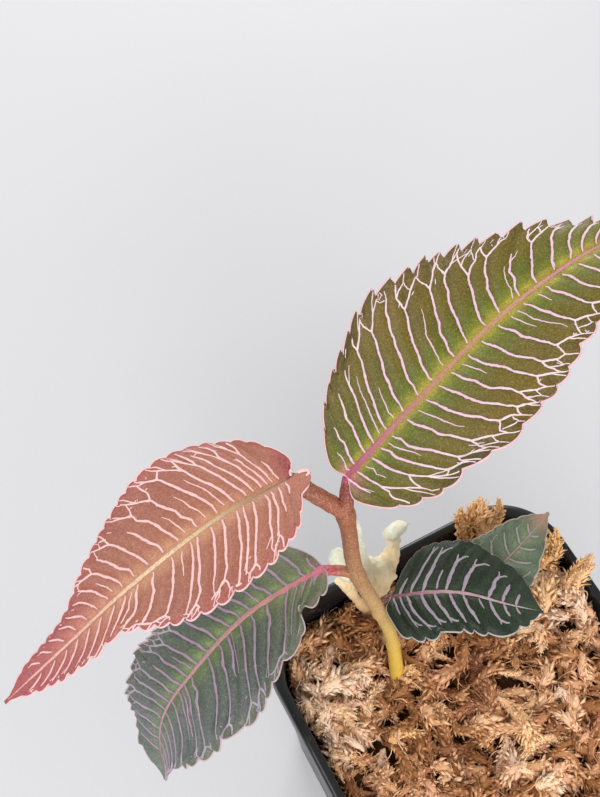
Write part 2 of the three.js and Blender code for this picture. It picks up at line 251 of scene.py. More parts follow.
def fromTo(tree, value, low, high):  # 0 at low and 1 at high
    return put(tree, "ShaderNodeMapRange", {0: value, 1: low, 2: high, 3: 0.0, 4: 1.0}).outputs[0]


shaderSockets = {"specular": "Specular IOR Level", "sheen": "Sheen Weight", "sheenRoughness": "Sheen Roughness",
                 "sheenTint": "Sheen Tint"}


def newMaterial(name, **shaderValues):
    material = bpy.data.materials.new(name)
    material.use_nodes = True
    tree = material.node_tree
    shader = tree.nodes["Principled BSDF"]
    for key, value in shaderValues.items():
        shader.inputs[shaderSockets[key]].default_value = value
    return material, tree, shader, put(tree, "ShaderNodeTexCoord").outputs["Object"]


def finishShader(tree, shader, colour, roughness, height, strength, depth):  # depth is in millimetres
    tree.links.new(colour, shader.inputs["Base Color"])
    tree.links.new(roughness, shader.inputs["Roughness"])
    bump = put(tree, "ShaderNodeBump", {"Strength": strength, "Distance": depth * mm, "Height": height})
    tree.links.new(bump.outputs[0], shader.inputs["Normal"])


# Camera, floor and light

cameraSpec = {"place": (-63.59, -28.64, 296.76), "azimuth": -30.04, "elevation": 60.41, "roll": -2.0, "lens": 47.43,
              "nearest": 0.01}


def aimCamera(spec):
    turn, rise, roll = (math.radians(spec[key]) for key in ("azimuth", "elevation", "roll"))
    back = Vector((math.sin(turn) * math.cos(rise), -math.cos(turn) * math.cos(rise), math.sin(rise)))
    right = (-back).cross(Vector((0, 0, 1))).normalized()
    down = (-back).cross(right)
    right, down = (right * math.cos(roll) + down * math.sin(roll),
                   down * math.cos(roll) - right * math.sin(roll))
    eye = bpy.data.objects.new("camera", bpy.data.cameras.new("camera"))
    bpy.context.scene.collection.objects.link(eye)
    pose = Matrix((right, -down, back)).transposed().to_4x4()
    pose.translation = Vector(spec["place"]) * mm
    eye.matrix_world = pose
    eye.data.lens = spec["lens"]
    eye.data.clip_start = spec["nearest"]
    bpy.context.scene.camera = eye


stageSpec = {"floorSize": 6000, "floorTint": (196, 196, 199), "fleckTint": (150, 150, 152), "fleckShare": 0.08,
             "worldTint": (1.0, 0.97, 0.93, 1), "worldStrength": 0.36,
             "lights": {  # place, aim, size and power
                 "keyLight": ((-420, 260, 620), (0, 20, 90), 520, 3.0),
                 "fillLight": ((420, -420, 420), (0, 20, 80), 600, 1.4),
                 "frontLight": ((-190, -520, 400), (-20, 10, 66), 380, 3.7),
                 "backLight": ((260, 560, 380), (0, 20, 100), 380, 2.8)}}


def makeStage(spec):
    half = spec["floorSize"] / 2
    corners = [(-half, -half, 0), (half, -half, 0), (half, half, 0), (-half, half, 0)]
    floor = meshPiece("floor", corners, [(0, 1, 2, 3)], smooth=False)
    material, tree, shader, place = newMaterial("floorPaper", specular=0.2)
    fleck = grain(tree, place, 900, 4)
    colour = mixTint(tree, times(tree, fleck, spec["fleckShare"]), tint(*spec["floorTint"]), tint(*spec["fleckTint"]))
    finishShader(tree, shader, colour, spread(tree, fleck, 0.3, 0.7, 0.8, 0.9), fleck, 0.05, 0.2)
    setMaterial(floor, material)
    world = bpy.data.worlds.new("studio")
    world.use_nodes = True
    background = world.node_tree.nodes["Background"].inputs
    background[0].default_value, background[1].default_value = spec["worldTint"], spec["worldStrength"]
    bpy.context.scene.world = world
    bpy.context.scene.view_settings.view_transform = "Standard"
    for name, (stand, aim, size, power) in spec["lights"].items():
        data = bpy.data.lights.new(name, "AREA")
        data.energy, data.size = power, size * mm
        lamp = bpy.data.objects.new(name, data)
        bpy.context.scene.collection.objects.link(lamp)
        lamp.location = Vector(stand) * mm
        towards = (Vector(aim) - Vector(stand)).normalized()
        lamp.rotation_euler = towards.to_track_quat("-Z", "Y").to_euler()


aimCamera(cameraSpec)
makeStage(stageSpec)
print("camera and stage placed")


# Geometry Nodes: the tree that sweeps a profile along edge chains, used for veins, margins, stems and strands

def startTree(name, sizes):
    tree = bpy.data.node_groups.new(name, "GeometryNodeTree")
    tree.interface.new_socket(name="Geometry", in_out="INPUT", socket_type="NodeSocketGeometry")
    for label, kind in sizes:
        tree.interface.new_socket(name=label, in_out="INPUT", socket_type=kind)
    tree.interface.new_socket(name="Geometry", in_out="OUTPUT", socket_type="NodeSocketGeometry")
    given = tree.nodes.new("NodeGroupInput").outputs
    return tree, given


def endTree(tree, given, geometry):
    whole = put(tree, "GeometryNodeRealizeInstances", {0: geometry}).outputs[0]
    smooth = put(tree, "GeometryNodeSetShadeSmooth", {0: whole}).outputs[0]
    painted = put(tree, "GeometryNodeSetMaterial", {"Geometry": smooth, "Material": given["Material"]}).outputs[0]
    put(tree, "NodeGroupOutput", {0: painted})


def readNamed(tree, name, kind="FLOAT"):
    return put(tree, "GeometryNodeInputNamedAttribute", {"Name": name}, data_type=kind).outputs[0]


def randomValue(tree, low, high, seed=0, kind="FLOAT"):
    first, output = {"FLOAT": (2, 1), "INT": (4, 2)}[kind]
    inputs = {first: low, first + 1: high, "Seed": seed}
    return put(tree, "FunctionNodeRandomValue", inputs, data_type=kind).outputs[output]


def sweepChains(tree, given, turned):
    curve = put(tree, "GeometryNodeMeshToCurve", {0: given["Geometry"]}).outputs[0]
    if turned:  # the profile's height follows the stored direction
        inputs = {"Curve": curve, "Normal": readNamed(tree, "facing", "FLOAT_VECTOR")}
        curve = put(tree, "GeometryNodeSetCurveNormal", inputs, mode="FREE").outputs[0]
    else:
        curve = put(tree, "GeometryNodeSetCurveNormal", {"Curve": curve}, mode="MINIMUM_TWIST").outputs[0]
    circle = put(tree, "GeometryNodeCurvePrimitiveCircle", {"Resolution": given["Sides"], "Radius": 1.0}).outputs[0]
    flat = put(tree, "ShaderNodeCombineXYZ", {0: given["Height Share"], 1: 1.0, 2: 1.0}).outputs[0]
    profile = put(tree, "GeometryNodeTransform", {"Geometry": circle, "Scale": flat}).outputs[0]
    girth = readNamed(tree, "halfWidth")
    if "Girth Share" in given:
        girth = times(tree, girth, given["Girth Share"])
    inputs = {"Curve": curve, "Profile Curve": profile, "Scale": girth, "Fill Caps": True}
    return curve, put(tree, "GeometryNodeCurveToMesh", inputs).outputs[0]


def makeSweepTree(name, turned):
    sizes = [("Height Share", "NodeSocketFloat"), ("Sides", "NodeSocketInt"), ("Material", "NodeSocketMaterial")]
    tree, given = startTree(name, sizes)
    endTree(tree, given, sweepChains(tree, given, turned)[1])
    return tree


def grow(piece, tree, values):  # runs the tree on the piece and keeps the plain mesh
    modifier = piece.modifiers.new("grow", "NODES")
    modifier.node_group = tree
    sockets = {item.name: item.identifier for item in tree.interface.items_tree if item.in_out == "INPUT"}
    for label, value in values.items():
        modifier[sockets[label]] = value
    keepOutward(bakeModifiers(piece))


ribbonTree = makeSweepTree("ribbons on a surface", True)
tubeTree = makeSweepTree("round tubes", False)


def growTube(piece, sides, material):
    grow(piece, tubeTree, {"Height Share": 1.0, "Sides": sides, "Material": material})


def perPoint(chain, label):  # what is stored at each point, also where one value serves the whole chain
    value, count = np.asarray(chain[label]), len(chain["points"])
    return np.broadcast_to(value, (count,) + value.shape[1:]) if value.ndim else np.full(count, value)


def chainPiece(name, chains, extra=()):  # each chain: points, halfWidth and what else is stored
    points = np.vstack([chain["points"] for chain in chains])
    edges, start = [], 0
    for chain in chains:
        count = len(chain["points"])
        edges += [(start + i, start + i + 1) for i in range(count - 1)]
        start += count
    piece = meshPiece(name, points, edges=edges)
    storeValues(piece.data, "halfWidth", np.concatenate([chain["halfWidth"] for chain in chains]) * mm)
    for label in extra:
        storeValues(piece.data, label, np.concatenate([perPoint(chain, label) for chain in chains]))
    return piece


# Pot

potSpec = {"height": 70, "rimHalf": 37.5, "wallTopHalf": 36.4, "baseHalf": 31, "rimCorner": 15.5, "baseCorner": 12,
           "wall": 1.1, "floor": 1.5, "lipDrop": 6, "drainRadius": 4.5, "drainPlace": 18, "slotRadius": 2.5,
           "slotPlace": 24, "drillFrom": -3, "drillTo": 5, "holeSides": 40, "cornerPoints": 20, "sharpAngle": 50,
           "outerLevels": (1.0, 12, 24, 36, 48, 58), "innerLevels": (58, 44, 30, 16, 4), "floorRound": 0.9,
           # profiles: how far out, and how far up
           "baseEdge": [(-1.0, 0), (-0.3, 0.25)],
           "lipFoot": [(-0.45, 0.15), (-0.12, 0.5), (0, 1.1)],
           "lipTop": [(0, -1.0), (-0.12, -0.4), (-0.4, -0.08), (-0.8, 0)],
           "lipInside": [(0.45, 0), (0.12, -0.12), (0, -0.5)],
           "black": (17, 18, 20), "grey": (27, 28, 31), "scuffTint": (62, 62, 66), "scuffShare": 0.25,
           "dustTint": (96, 84, 68), "dustShare": 0.3}


def potHalf(z):
    return potSpec["baseHalf"] + (potSpec["wallTopHalf"] - potSpec["baseHalf"]) * z / potSpec["height"]


def potCorner(z):
    return potSpec["baseCorner"] + (potSpec["rimCorner"] - potSpec["baseCorner"]) * z / potSpec["height"]


def squareRing(half, corner, z, perCorner):
    ring, inner = [], half - corner
    for c, (sx, sy) in enumerate([(1, 1), (-1, 1), (-1, -1), (1, -1)]):
        for i in range(perCorner):
            angle = math.pi / 2 * (c + i / (perCorner - 1))
            ring.append((sx * inner + corner * math.cos(angle), sy * inner + corner * math.sin(angle), z))
    return ring


def roundRing(x, y, radius, z, sides):
    turns = [math.tau * s / sides for s in range(sides)]
    return [(x + radius * math.cos(turn), y + radius * math.sin(turn), z) for turn in turns]


def makePotMaterial(spec):
    material, tree, shader, place = newMaterial("potPlastic", specular=0.5)
    cloud, fine = grain(tree, place, 60, 4), grain(tree, place, 2400, 2)
    scuff = grain(tree, stretch(tree, place, (1, 1, 14)), 320, 3, 0.7)  # runs round the pot
    wear = spread(tree, scuff, 0.62, 0.72)
    dust = spread(tree, grain(tree, place, 420, 5, 0.7), 0.6, 0.78)
    colour = mixTint(tree, cloud, tint(*spec["black"]), tint(*spec["grey"]))
    colour = layTint(tree, colour, times(tree, wear, spec["scuffShare"]), spec["scuffTint"])
    colour = layTint(tree, colour, times(tree, dust, spec["dustShare"]), spec["dustTint"])
    roughness = plus(tree, spread(tree, cloud, 0.3, 0.7, 0.24, 0.4), times(tree, wear, 0.2))
    height = plus(tree, times(tree, fine, 0.5), times(tree, scuff, 0.4))
    finishShader(tree, shader, colour, roughness, height, 0.2, 0.1)
    return material


def makePot(spec):
    rimHalf, top, wall = spec["rimHalf"], spec["height"], spec["wall"]
    foot = top - spec["lipDrop"]
    levels = [(spec["baseHalf"] + out, up) for out, up in spec["baseEdge"]]
    levels += [(potHalf(z), z) for z in (*spec["outerLevels"], foot - 0.2)]
    levels += [(rimHalf + out, foot + up) for out, up in spec["lipFoot"]]
    levels += [(rimHalf + out, top + up) for out, up in spec["lipTop"]]
    levels += [(potHalf(top) - wall + out, top + up) for out, up in spec["lipInside"]]
    levels += [(potHalf(z) - wall, z) for z in spec["innerLevels"]]
    levels += [(potHalf(spec["floor"]) - wall - spec["floorRound"], spec["floor"])]
    pot = shellPiece("squarePot", [squareRing(half, potCorner(z), z, spec["cornerPoints"]) for half, z in levels])
    drillPoints, drillFaces, sides = [], [], spec["holeSides"]
    holes = [(math.pi / 4, spec["drainPlace"] * math.sqrt(2), spec["drainRadius"]),
             (0, spec["slotPlace"], spec["slotRadius"])]
    for quarter in range(4):
        for turn, reach, radius in holes:
            angle, start = math.pi / 2 * quarter + turn, len(drillPoints)
            for z in (spec["drillFrom"], spec["drillTo"]):
                drillPoints += roundRing(reach * math.cos(angle), reach * math.sin(angle), radius, z, sides)
            drillFaces += shellFaces(2, sides, start)
    drills = meshPiece("drills", drillPoints, drillFaces)
    cut = pot.modifiers.new("drain", "BOOLEAN")
    cut.object, cut.operation, cut.solver = drills, "DIFFERENCE", "EXACT"
    bakeModifiers(pot)
    bpy.data.objects.remove(drills)
    smoothAll(pot.data)
    pot.data.set_sharp_from_angle(angle=math.radians(spec["sharpAngle"]))
    setMaterial(pot, makePotMaterial(spec))
    declare(pot, "pot_plastic", "pot")


makePot(potSpec)
print("pot built")


# Leaves. Left and right are as seen on the way from base to tip. An outline is the half width, at even steps on that
# way. Each lateral vein is given by its place on the midrib, how far it runs towards the margin, and what it does
# there: fork, ring, link or tee, or else it just ends. Blush is the length, width and strength of a basal corner's
# tint. Teeth are their kind, count and height. A curl is its side, place, width, rise and pull inwards.

bladeSpec = {"stations": 250, "columns": 76, "fullLength": 78, "fullHalf": 18, "thickness": 0.52, "thinEdge": 0.45,
             "rounding": 0.1, "tipHalf": 0.35, "foldRise": 0.16, "foldFall": 0.12, "toothFrom": 0.84,
             "curlFrom": 0.74, "crestFrom": (0.02, 0.16), "crestEnd": 0.78, "waveShift": (1.1, 2.9), "lobeRun": 0.22,
             "lobeFoot": 0.004, "earRun": 0.014, "earRise": 1.3, "earTuck": 1.1, "tight": 1.35, "gloss": 0.3,
             "broadGrain": 110, "middleGrain": 520, "fineGrain": 3600, "netScale": 1050.0, "netBend": 0.0006,
             "netBendScale": 700.0, "dotScale": 2300.0}

leafDefaults = {"steadiness": 0.6, "lean": 0.1, "wave": 0.5, "waves": 2.5, "ear": 0, "bits": 0, "curls": [],
                "sway": 1, "rimShare": 1}

leaves = [
    {"name": "leafUpperLeft", "node": "leaf_upper_left", "slot": "leaf_pink", "seed": 11, "bits": 16,
     "petiole": [[-16.4, 34.6, 116.6], [-20.6, 38.2, 121.2]], "petioleRadius": [1.75, 1.65],
     "midrib": [[-24.1, 41.7, 126], [-39.7, 40.0, 127.5], [-56.7, 37.7, 123.3], [-71.0, 36.3, 114.5],
         [-85.7, 35.3, 104]],
     "quilt": 0.27, "wave": 0.8, "waves": 3, "ear": 2.7, "curls": [("right", 0.06, 0.07, 1.2, 0.8)],
     "veinHalf": 0.25, "midribHalf": [0.24, 0.34, 0.42, 0.48, 0.5, 0.48, 0.46, 0.43, 0.4, 0.34, 0.2],
     "left": {
         "outline": [6.7, 9.9, 12.1, 12.7, 12.5, 9.2, 5.2, 5.4, 4.4, 2.6, 0], "lobe": 0.51,
         "drift": (0.02, 0.1), "blush": (0.03, 1.2, 0.3), "teeth": ("scallop", 23, 1.05), "veinStart": 0.7,
         "laterals": [(0.026, 0.45), (0.052, 0.6), (0.078, 0.8, "fork"), (0.098, 0.86), (0.14, 0.86, "fork"),
             (0.17, 0.9), (0.192, 0.93, "fork"), (0.238, 0.78, "link"), (0.272, 0.74), (0.314, 0.84, "ring"),
             (0.334, 0.95), (0.39, 0.84, "ring"), (0.445, 0.88, "fork"), (0.492, 0.93), (0.535, 0.9),
             (0.572, 0.9, "fork"), (0.62, 0.92), (0.667, 0.9), (0.714, 0.85), (0.756, 0.85), (0.8, 0.8),
             (0.85, 0.7)],
         "shorts": [(0.36, 0.4), (0.512, 0.75)]},
     "right": {
         "outline": [8.2, 11.8, 14.6, 15.2, 14.2, 11.8, 8.2, 5.0, 3.6, 2.4, 0], "lobe": 2.28,
         "drift": (0.03, 0.02), "blush": (0.06, 2.0, 0.85), "teeth": ("round", 26, 0.6), "veinStart": 0.9,
         "laterals": [(0.036, 0.55), (0.057, 0.7, "fork"), (0.074, 0.64), (0.094, 0.6, "fork"), (0.12, 0.86),
             (0.145, 0.7, "fork"), (0.182, 0.72, "fork"), (0.238, 0.8, "fork"), (0.3, 0.66, "fork"),
             (0.355, 0.7, "fork"), (0.4, 0.6), (0.445, 0.72, "ring"), (0.49, 0.78), (0.53, 0.72, "fork"),
             (0.58, 0.84), (0.622, 0.82), (0.662, 0.85), (0.705, 0.8), (0.75, 0.8), (0.795, 0.75), (0.84, 0.7)],
         "shorts": [(0.21, 0.6), (0.268, 0.5), (0.33, 0.4), (0.555, 0.5)]},
     "looks": {
         "spread": [(0, (210, 168, 126)), (1.1, (190, 140, 108)), (3, (151, 98, 76)), (12, (141, 86, 74))],
         "tip": (166, 70, 98), "tipShare": 0.92, "tipFrom": 0.44, "base": (170, 116, 96), "baseShare": 0.6,
         "margin": (172, 92, 92), "corner": (128, 34, 66), "under": (150, 104, 92), "line": (196, 136, 112),
         "fleck": (214, 160, 138), "dark": (128, 74, 62), "rim": (224, 180, 184), "vein": (217, 174, 170),
         "net": (220, 182, 179),
         "midrib": [(0, (96, 74, 58)), (0.12, (134, 114, 82)), (0.26, (186, 162, 126)), (0.42, (220, 190, 156)),
             (0.72, (220, 168, 160)), (1, (226, 168, 170))],
         "petiole": [(0, (150, 86, 60)), (1, (140, 70, 52))], "veinUnder": (190, 130, 116)}},
    {"name": "leafUpperRight", "node": "leaf_upper_right", "slot": "leaf_olive", "seed": 23, "bits": 18,
     "petiole": [[-16.3, 34.8, 118.2], [-15.5, 36.2, 121.4]], "petioleRadius": [1.45, 1.35],
     "midrib": [[-15.0, 37.2, 125.6], [0.7, 40.7, 135.1], [20.0, 45.5, 142.3], [39.5, 47.4, 147.2],
         [56.1, 45.4, 149]],
     "quilt": 0.25, "wave": 0.9, "waves": 3.5,
     "curls": [("left", 0.2, 0.05, 2.4, 2.4), ("right", 0.24, 0.06, 1.3, 1.7)], "veinHalf": 0.23,
     "midribHalf": [0.95, 0.8, 0.7, 0.62, 0.56, 0.5, 0.44, 0.38, 0.3, 0.22, 0.13],
     "left": {
         "outline": [8.5, 13.0, 18.7, 20.3, 18.6, 16.7, 12.5, 9.6, 5.4, 2.4, 0], "lobe": 1.84,
         "drift": (0.02, 0.07), "blush": (0.035, 0.5, 0.8), "teeth": ("sharp", 24, 1.5), "veinStart": 0.55,
         "laterals": [(0.034, 0.74), (0.072, 0.8), (0.104, 0.8), (0.15, 0.76, "fork"), (0.208, 0.74, "fork"),
             (0.258, 0.95), (0.302, 0.68, "ring"), (0.368, 0.7, "fork"), (0.407, 0.74, "link"),
             (0.46, 0.58, "ring"), (0.5, 0.72, "fork"), (0.556, 0.62), (0.603, 0.66, "ring"), (0.652, 0.93),
             (0.696, 0.93), (0.73, 0.9), (0.768, 0.88, "fork"), (0.812, 0.9), (0.86, 0.88), (0.91, 0.85)],
         "shorts": [(0.014, 0.62), (0.13, 0.62), (0.18, 0.35), (0.339, 0.58), (0.541, 0.48), (0.655, 0.18)]},
     "right": {
         "outline": [8.9, 12.3, 16.3, 17.9, 16.9, 16.3, 13.4, 10.8, 7.5, 3.8, 0], "lobe": 2.77,
         "drift": (0.045, 0), "blush": (0.05, 0.7, 0.85), "teeth": ("scallop", 17, 1.0), "veinStart": 1.1,
         "laterals": [(0.0, 0.7), (0.026, 0.6, "fork"), (0.075, 0.62, "link"), (0.108, 0.8, "fork"),
             (0.148, 0.74, "fork"), (0.2, 0.7, "ring"), (0.262, 0.76, "ring"), (0.302, 0.82, "fork"),
             (0.34, 0.74, "ring"), (0.39, 0.76, "fork"), (0.43, 0.7, "ring"), (0.478, 0.72, "fork"),
             (0.55, 0.72, "ring"), (0.61, 0.74, "fork"), (0.655, 0.78, "link"), (0.7, 0.8, "fork"),
             (0.743, 0.84), (0.79, 0.84), (0.835, 0.85), (0.89, 0.85)],
         "shorts": [(0.05, 0.5), (0.128, 0.5), (0.232, 0.55), (0.366, 0.36), (0.51, 0.4), (0.528, 0.7),
             (0.584, 0.3)]},
     "looks": {
         "spread": [(0, (196, 176, 74)), (0.9, (186, 170, 66)), (1.9, (120, 126, 36)), (3.4, (92, 100, 24)),
             (7, (100, 88, 22)), (15, (112, 86, 30))],
         "tip": (134, 120, 84), "tipShare": 0.7, "tipFrom": 0.55, "base": (90, 100, 32), "baseShare": 0.3,
         "margin": (100, 78, 42), "corner": (196, 84, 124), "under": (120, 110, 80), "line": (128, 124, 58),
         "fleck": (186, 172, 92), "dark": (52, 52, 20), "rim": (218, 172, 180), "vein": (212, 176, 194),
         "net": (218, 200, 204),
         "midrib": [(0, (150, 62, 92)), (0.08, (168, 92, 112)), (0.3, (172, 122, 98)), (0.5, (184, 134, 108)),
             (0.66, (198, 120, 140)), (1, (206, 112, 146))],
         "petiole": [(0, (150, 84, 60)), (0.35, (126, 58, 46)), (0.8, (128, 50, 60)), (1, (174, 70, 106))],
         "veinUnder": (178, 140, 120)}},
    {"name": "leafLowerLeft", "node": "leaf_lower_left", "slot": "leaf_grey_green", "seed": 37, "bits": 8,
     "petiole": [[-15.8, 28.6, 97.2], [-18.8, 30.4, 98.6]], "petioleRadius": [1.25, 1.1],
     "midrib": [[-21.6, 32.1, 99], [-38.6, 31.1, 98.7], [-52.5, 27.7, 92.8], [-62.1, 24.0, 83.7],
         [-66.2, 16.0, 72.6]],
     "steadiness": 0.9, "lean": 0.09, "quilt": 0.5, "wave": 1.1, "waves": 4,
     "curls": [("left", 0.135, 0.018, 0.5, 2.6)], "veinHalf": 0.29,
     "midribHalf": [1.15, 0.86, 0.72, 0.62, 0.54, 0.48, 0.43, 0.38, 0.3, 0.22, 0.14],
     "left": {
         "outline": [5.6, 5.8, 10.3, 12.3, 14.5, 15.1, 13.2, 12.6, 8.7, 3.7, 0], "lobe": -0.8,
         "drift": (0.07, 0.22), "blush": (0.04, 0.6, 0.7), "teeth": ("scallop", 15, 1.0), "veinStart": 0.2,
         "laterals": [(0.03, 0.4), (0.064, 0.5), (0.093, 0.8), (0.123, 0.9, "fork"), (0.194, 0.92),
             (0.25, 0.84, "fork"), (0.296, 0.84, "fork"), (0.345, 0.5), (0.384, 0.84, "fork"), (0.438, 0.94),
             (0.522, 0.84, "fork"), (0.56, 0.9), (0.6, 0.6), (0.645, 0.94), (0.7, 0.9), (0.745, 0.9),
             (0.785, 0.9), (0.83, 0.88), (0.88, 0.85)],
         "shorts": [(0.044, 0.4), (0.33, 0.5), (0.58, 0.6)]},
     "right": {
         "outline": [10.2, 11.9, 12.1, 11.7, 11.2, 10.8, 11.9, 9.4, 7.6, 6.0, 0], "lobe": 0.8,
         "drift": (-0.01, 0), "blush": (0.04, 0.6, 0.7), "teeth": ("sharp", 26, 0.9), "veinStart": 0.2,
         "laterals": [(0.02, 0.6), (0.055, 0.94), (0.112, 0.94), (0.166, 0.94), (0.242, 0.92),
             (0.283, 0.86, "fork"), (0.322, 0.9), (0.375, 0.9), (0.422, 0.8, "fork"), (0.478, 0.72, "ring"),
             (0.533, 0.78, "fork"), (0.575, 0.6), (0.617, 0.8, "ring"), (0.655, 0.88), (0.693, 0.8, "fork"),
             (0.735, 0.88), (0.78, 0.86), (0.822, 0.85), (0.87, 0.8)],
         "shorts": [(0.208, 0.5), (0.5, 0.45)]},
     "looks": {
         "spread": [(0, (142, 150, 96)), (1.4, (114, 132, 84)), (3.4, (88, 98, 84)), (12, (84, 86, 90))],
         "tip": (120, 120, 132), "tipShare": 0.6, "tipFrom": 0.4, "base": (136, 138, 94), "baseShare": 0.5,
         "margin": (122, 122, 102), "corner": (190, 96, 124), "under": (138, 138, 118), "line": (138, 150, 128),
         "fleck": (150, 164, 140), "dark": (56, 68, 56), "rim": (184, 162, 168), "vein": (154, 128, 152),
         "net": (152, 143, 155),
         "midrib": [(0, (214, 110, 142)), (0.06, (204, 122, 140)), (0.2, (196, 142, 136)),
             (0.45, (186, 142, 146)), (1, (176, 132, 160))],
         "petiole": [(0, (176, 126, 74)), (0.45, (166, 100, 66)), (0.7, (190, 82, 90)), (1, (208, 92, 128))],
         "veinUnder": (168, 140, 140)}},
    {"name": "leafLowerRight", "node": "leaf_lower_right", "slot": "leaf_dark_green", "seed": 41,
     "petiole": [[-12.7, 23.5, 83.6], [-10.8, 24.4, 85]], "petioleRadius": [1.2, 1],
     "midrib": [[-9.4, 24.1, 86], [-2.3, 20.6, 88.2], [4.0, 16.9, 88.2], [11.2, 11.3, 86], [18.3, 7.2, 82]],
     "lean": 0.12, "quilt": 0.5, "veinHalf": 0.42, "sway": 0.5, "rimShare": 0.5,
     "midribHalf": [0.8, 0.66, 0.6, 0.56, 0.54, 0.5, 0.46, 0.4, 0.32, 0.24, 0.14],
     "left": {
         "outline": [3.4, 6.6, 9.5, 10.8, 11.1, 11.3, 10.7, 9.6, 7.8, 4.6, 0], "lobe": -0.7, "drift": (0.1, 0),
         "blush": (0.05, 0.4, 0.7), "teeth": ("round", 15, 0.4), "veinStart": 0.2,
         "laterals": [(0.05, 0.5), (0.125, 0.78, "tee"), (0.2, 0.74, "tee"), (0.36, 0.58, "tee"),
             (0.475, 0.56, "tee"), (0.63, 0.52, "tee"), (0.713, 0.48), (0.8, 0.36)],
         "shorts": [(0.29, 0.4)]},
     "right": {
         "outline": [5.9, 8.7, 10.0, 9.1, 8.5, 8.0, 7.5, 7.2, 5.1, 2.8, 0], "lobe": 1.62, "drift": (0.1, 0),
         "blush": (0.05, 0.4, 0.7), "teeth": ("scallop", 9, 1.2), "veinStart": 0.2,
         "laterals": [(0.012, 0.55), (0.055, 0.62, "tee"), (0.1, 0.7, "tee"), (0.19, 0.66, "tee"),
             (0.275, 0.66, "tee"), (0.385, 0.78), (0.48, 0.76), (0.64, 0.55, "tee"), (0.72, 0.42), (0.8, 0.35)],
         "shorts": [(0.57, 0.35)]},
     "looks": {
         "spread": [(0, (58, 68, 42)), (1.5, (38, 52, 30)), (5, (27, 38, 22)), (10, (36, 46, 28))],
         "tip": (52, 72, 58), "tipShare": 0.5, "tipFrom": 0.5, "base": (34, 46, 34), "baseShare": 0.4,
         "margin": (44, 58, 48), "corner": (70, 44, 50), "under": (110, 96, 92), "line": (58, 78, 62),
         "fleck": (90, 102, 74), "dark": (8, 13, 7), "rim": (170, 164, 158), "vein": (147, 132, 148),
         "net": (142, 137, 143),
         "midrib": [(0, (92, 46, 50)), (0.12, (142, 90, 98)), (0.35, (178, 142, 152)), (1, (178, 164, 170))],
         "petiole": [(0, (104, 54, 40)), (1, (84, 34, 44))], "veinUnder": (140, 110, 112)}},
    {"name": "leafBack", "node": "leaf_back", "slot": "leaf_dusky_green", "seed": 53,
     "petiole": [[-11.3, 18.6, 72.6], [-6.4, 19.5, 74.6]], "petioleRadius": [1.1, 1],
     "midrib": [[-1.8, 19.8, 76.4], [7, 19.5, 78.6], [15.9, 20.4, 80], [24.7, 22.8, 80.6], [33.2, 25.8, 80.4]],
     "quilt": 0.4, "veinHalf": 0.27, "sway": 0.5,
     "midribHalf": [0.5, 0.46, 0.42, 0.4, 0.38, 0.36, 0.32, 0.28, 0.24, 0.2, 0.14],
     "left": {
         "outline": [3.5, 5.4, 6.8, 7.6, 7.9, 7.8, 7, 6.2, 4.7, 2.7, 0], "lobe": 1, "drift": (0.1, 0),
         "blush": (0.05, 0.4, 0.6), "teeth": ("round", 15, 0.4), "veinStart": 0.2,
         "laterals": [(0.05, 0.6), (0.15, 0.75), (0.27, 0.7, "tee"), (0.38, 0.7, "tee"), (0.5, 0.66, "tee"),
             (0.61, 0.7), (0.71, 0.62), (0.8, 0.5)],
         "shorts": [(0.44, 0.4)]},
     "right": {
         "outline": [3.5, 5.4, 6.8, 7.6, 7.9, 7.8, 7.2, 5.8, 4, 2.2, 0], "lobe": 1, "drift": (0.1, 0),
         "blush": (0.05, 0.4, 0.6), "teeth": ("scallop", 11, 0.5), "veinStart": 0.2,
         "laterals": [(0.05, 0.6), (0.14, 0.72), (0.25, 0.7, "tee"), (0.36, 0.7, "tee"), (0.48, 0.68, "tee"),
             (0.59, 0.7), (0.69, 0.62), (0.79, 0.5)],
         "shorts": [(0.31, 0.4)]},
     "looks": {
         "spread": [(0, (138, 142, 112)), (1.5, (110, 122, 96)), (4, (98, 112, 89)), (8, (104, 116, 95))],
         "tip": (210, 146, 132), "tipShare": 1.0, "tipFrom": 0.78, "base": (70, 86, 62), "baseShare": 0.4,
         "margin": (92, 100, 84), "corner": (90, 60, 62), "under": (124, 116, 104), "line": (96, 116, 92),
         "fleck": (124, 140, 116), "dark": (54, 68, 52), "rim": (152, 148, 134), "vein": (148, 139, 142),
         "net": (140, 137, 136), "midrib": [(0, (120, 76, 78)), (0.3, (158, 122, 132)), (1, (182, 138, 144))],
         "petiole": [(0, (120, 80, 56)), (1, (110, 62, 62))], "veinUnder": (140, 120, 116)}}
]


def bladeFrame(leaf, share):
    points = np.asarray(leaf["midrib"], float)
    ahead = headingAt(points, share)
    steady = ahead + (unit(points[-1] - points[0]) - ahead) * leaf["steadiness"]
    side = unit(np.cross(steady, (0.0, 0.0, 1.0)))
    return ahead, side, unit(np.cross(side, ahead))


def driftAt(leaf, side, place, reach):  # how far towards the tip a lateral runs on its way out
    near, growth = leaf[side]["drift"]
    return (near + growth * place) * reach ** 1.5


def toothShape(kind, phase):  # how far out and how far ahead the margin goes, for one tooth from 0 to 1
    if kind == "sharp":
        out = np.where(phase < 0.86, (phase / 0.86) ** 0.75, (1 - phase) / 0.14)
        return out - 0.6, 0.75 * out ** 3
    if kind == "scallop":
        out = np.sin(math.pi * phase ** 1.5) ** 0.55
        return out - 0.7, 0.35 * out * phase
    return np.sin(math.pi * phase) ** 0.55 - 0.7, 0.1 * phase


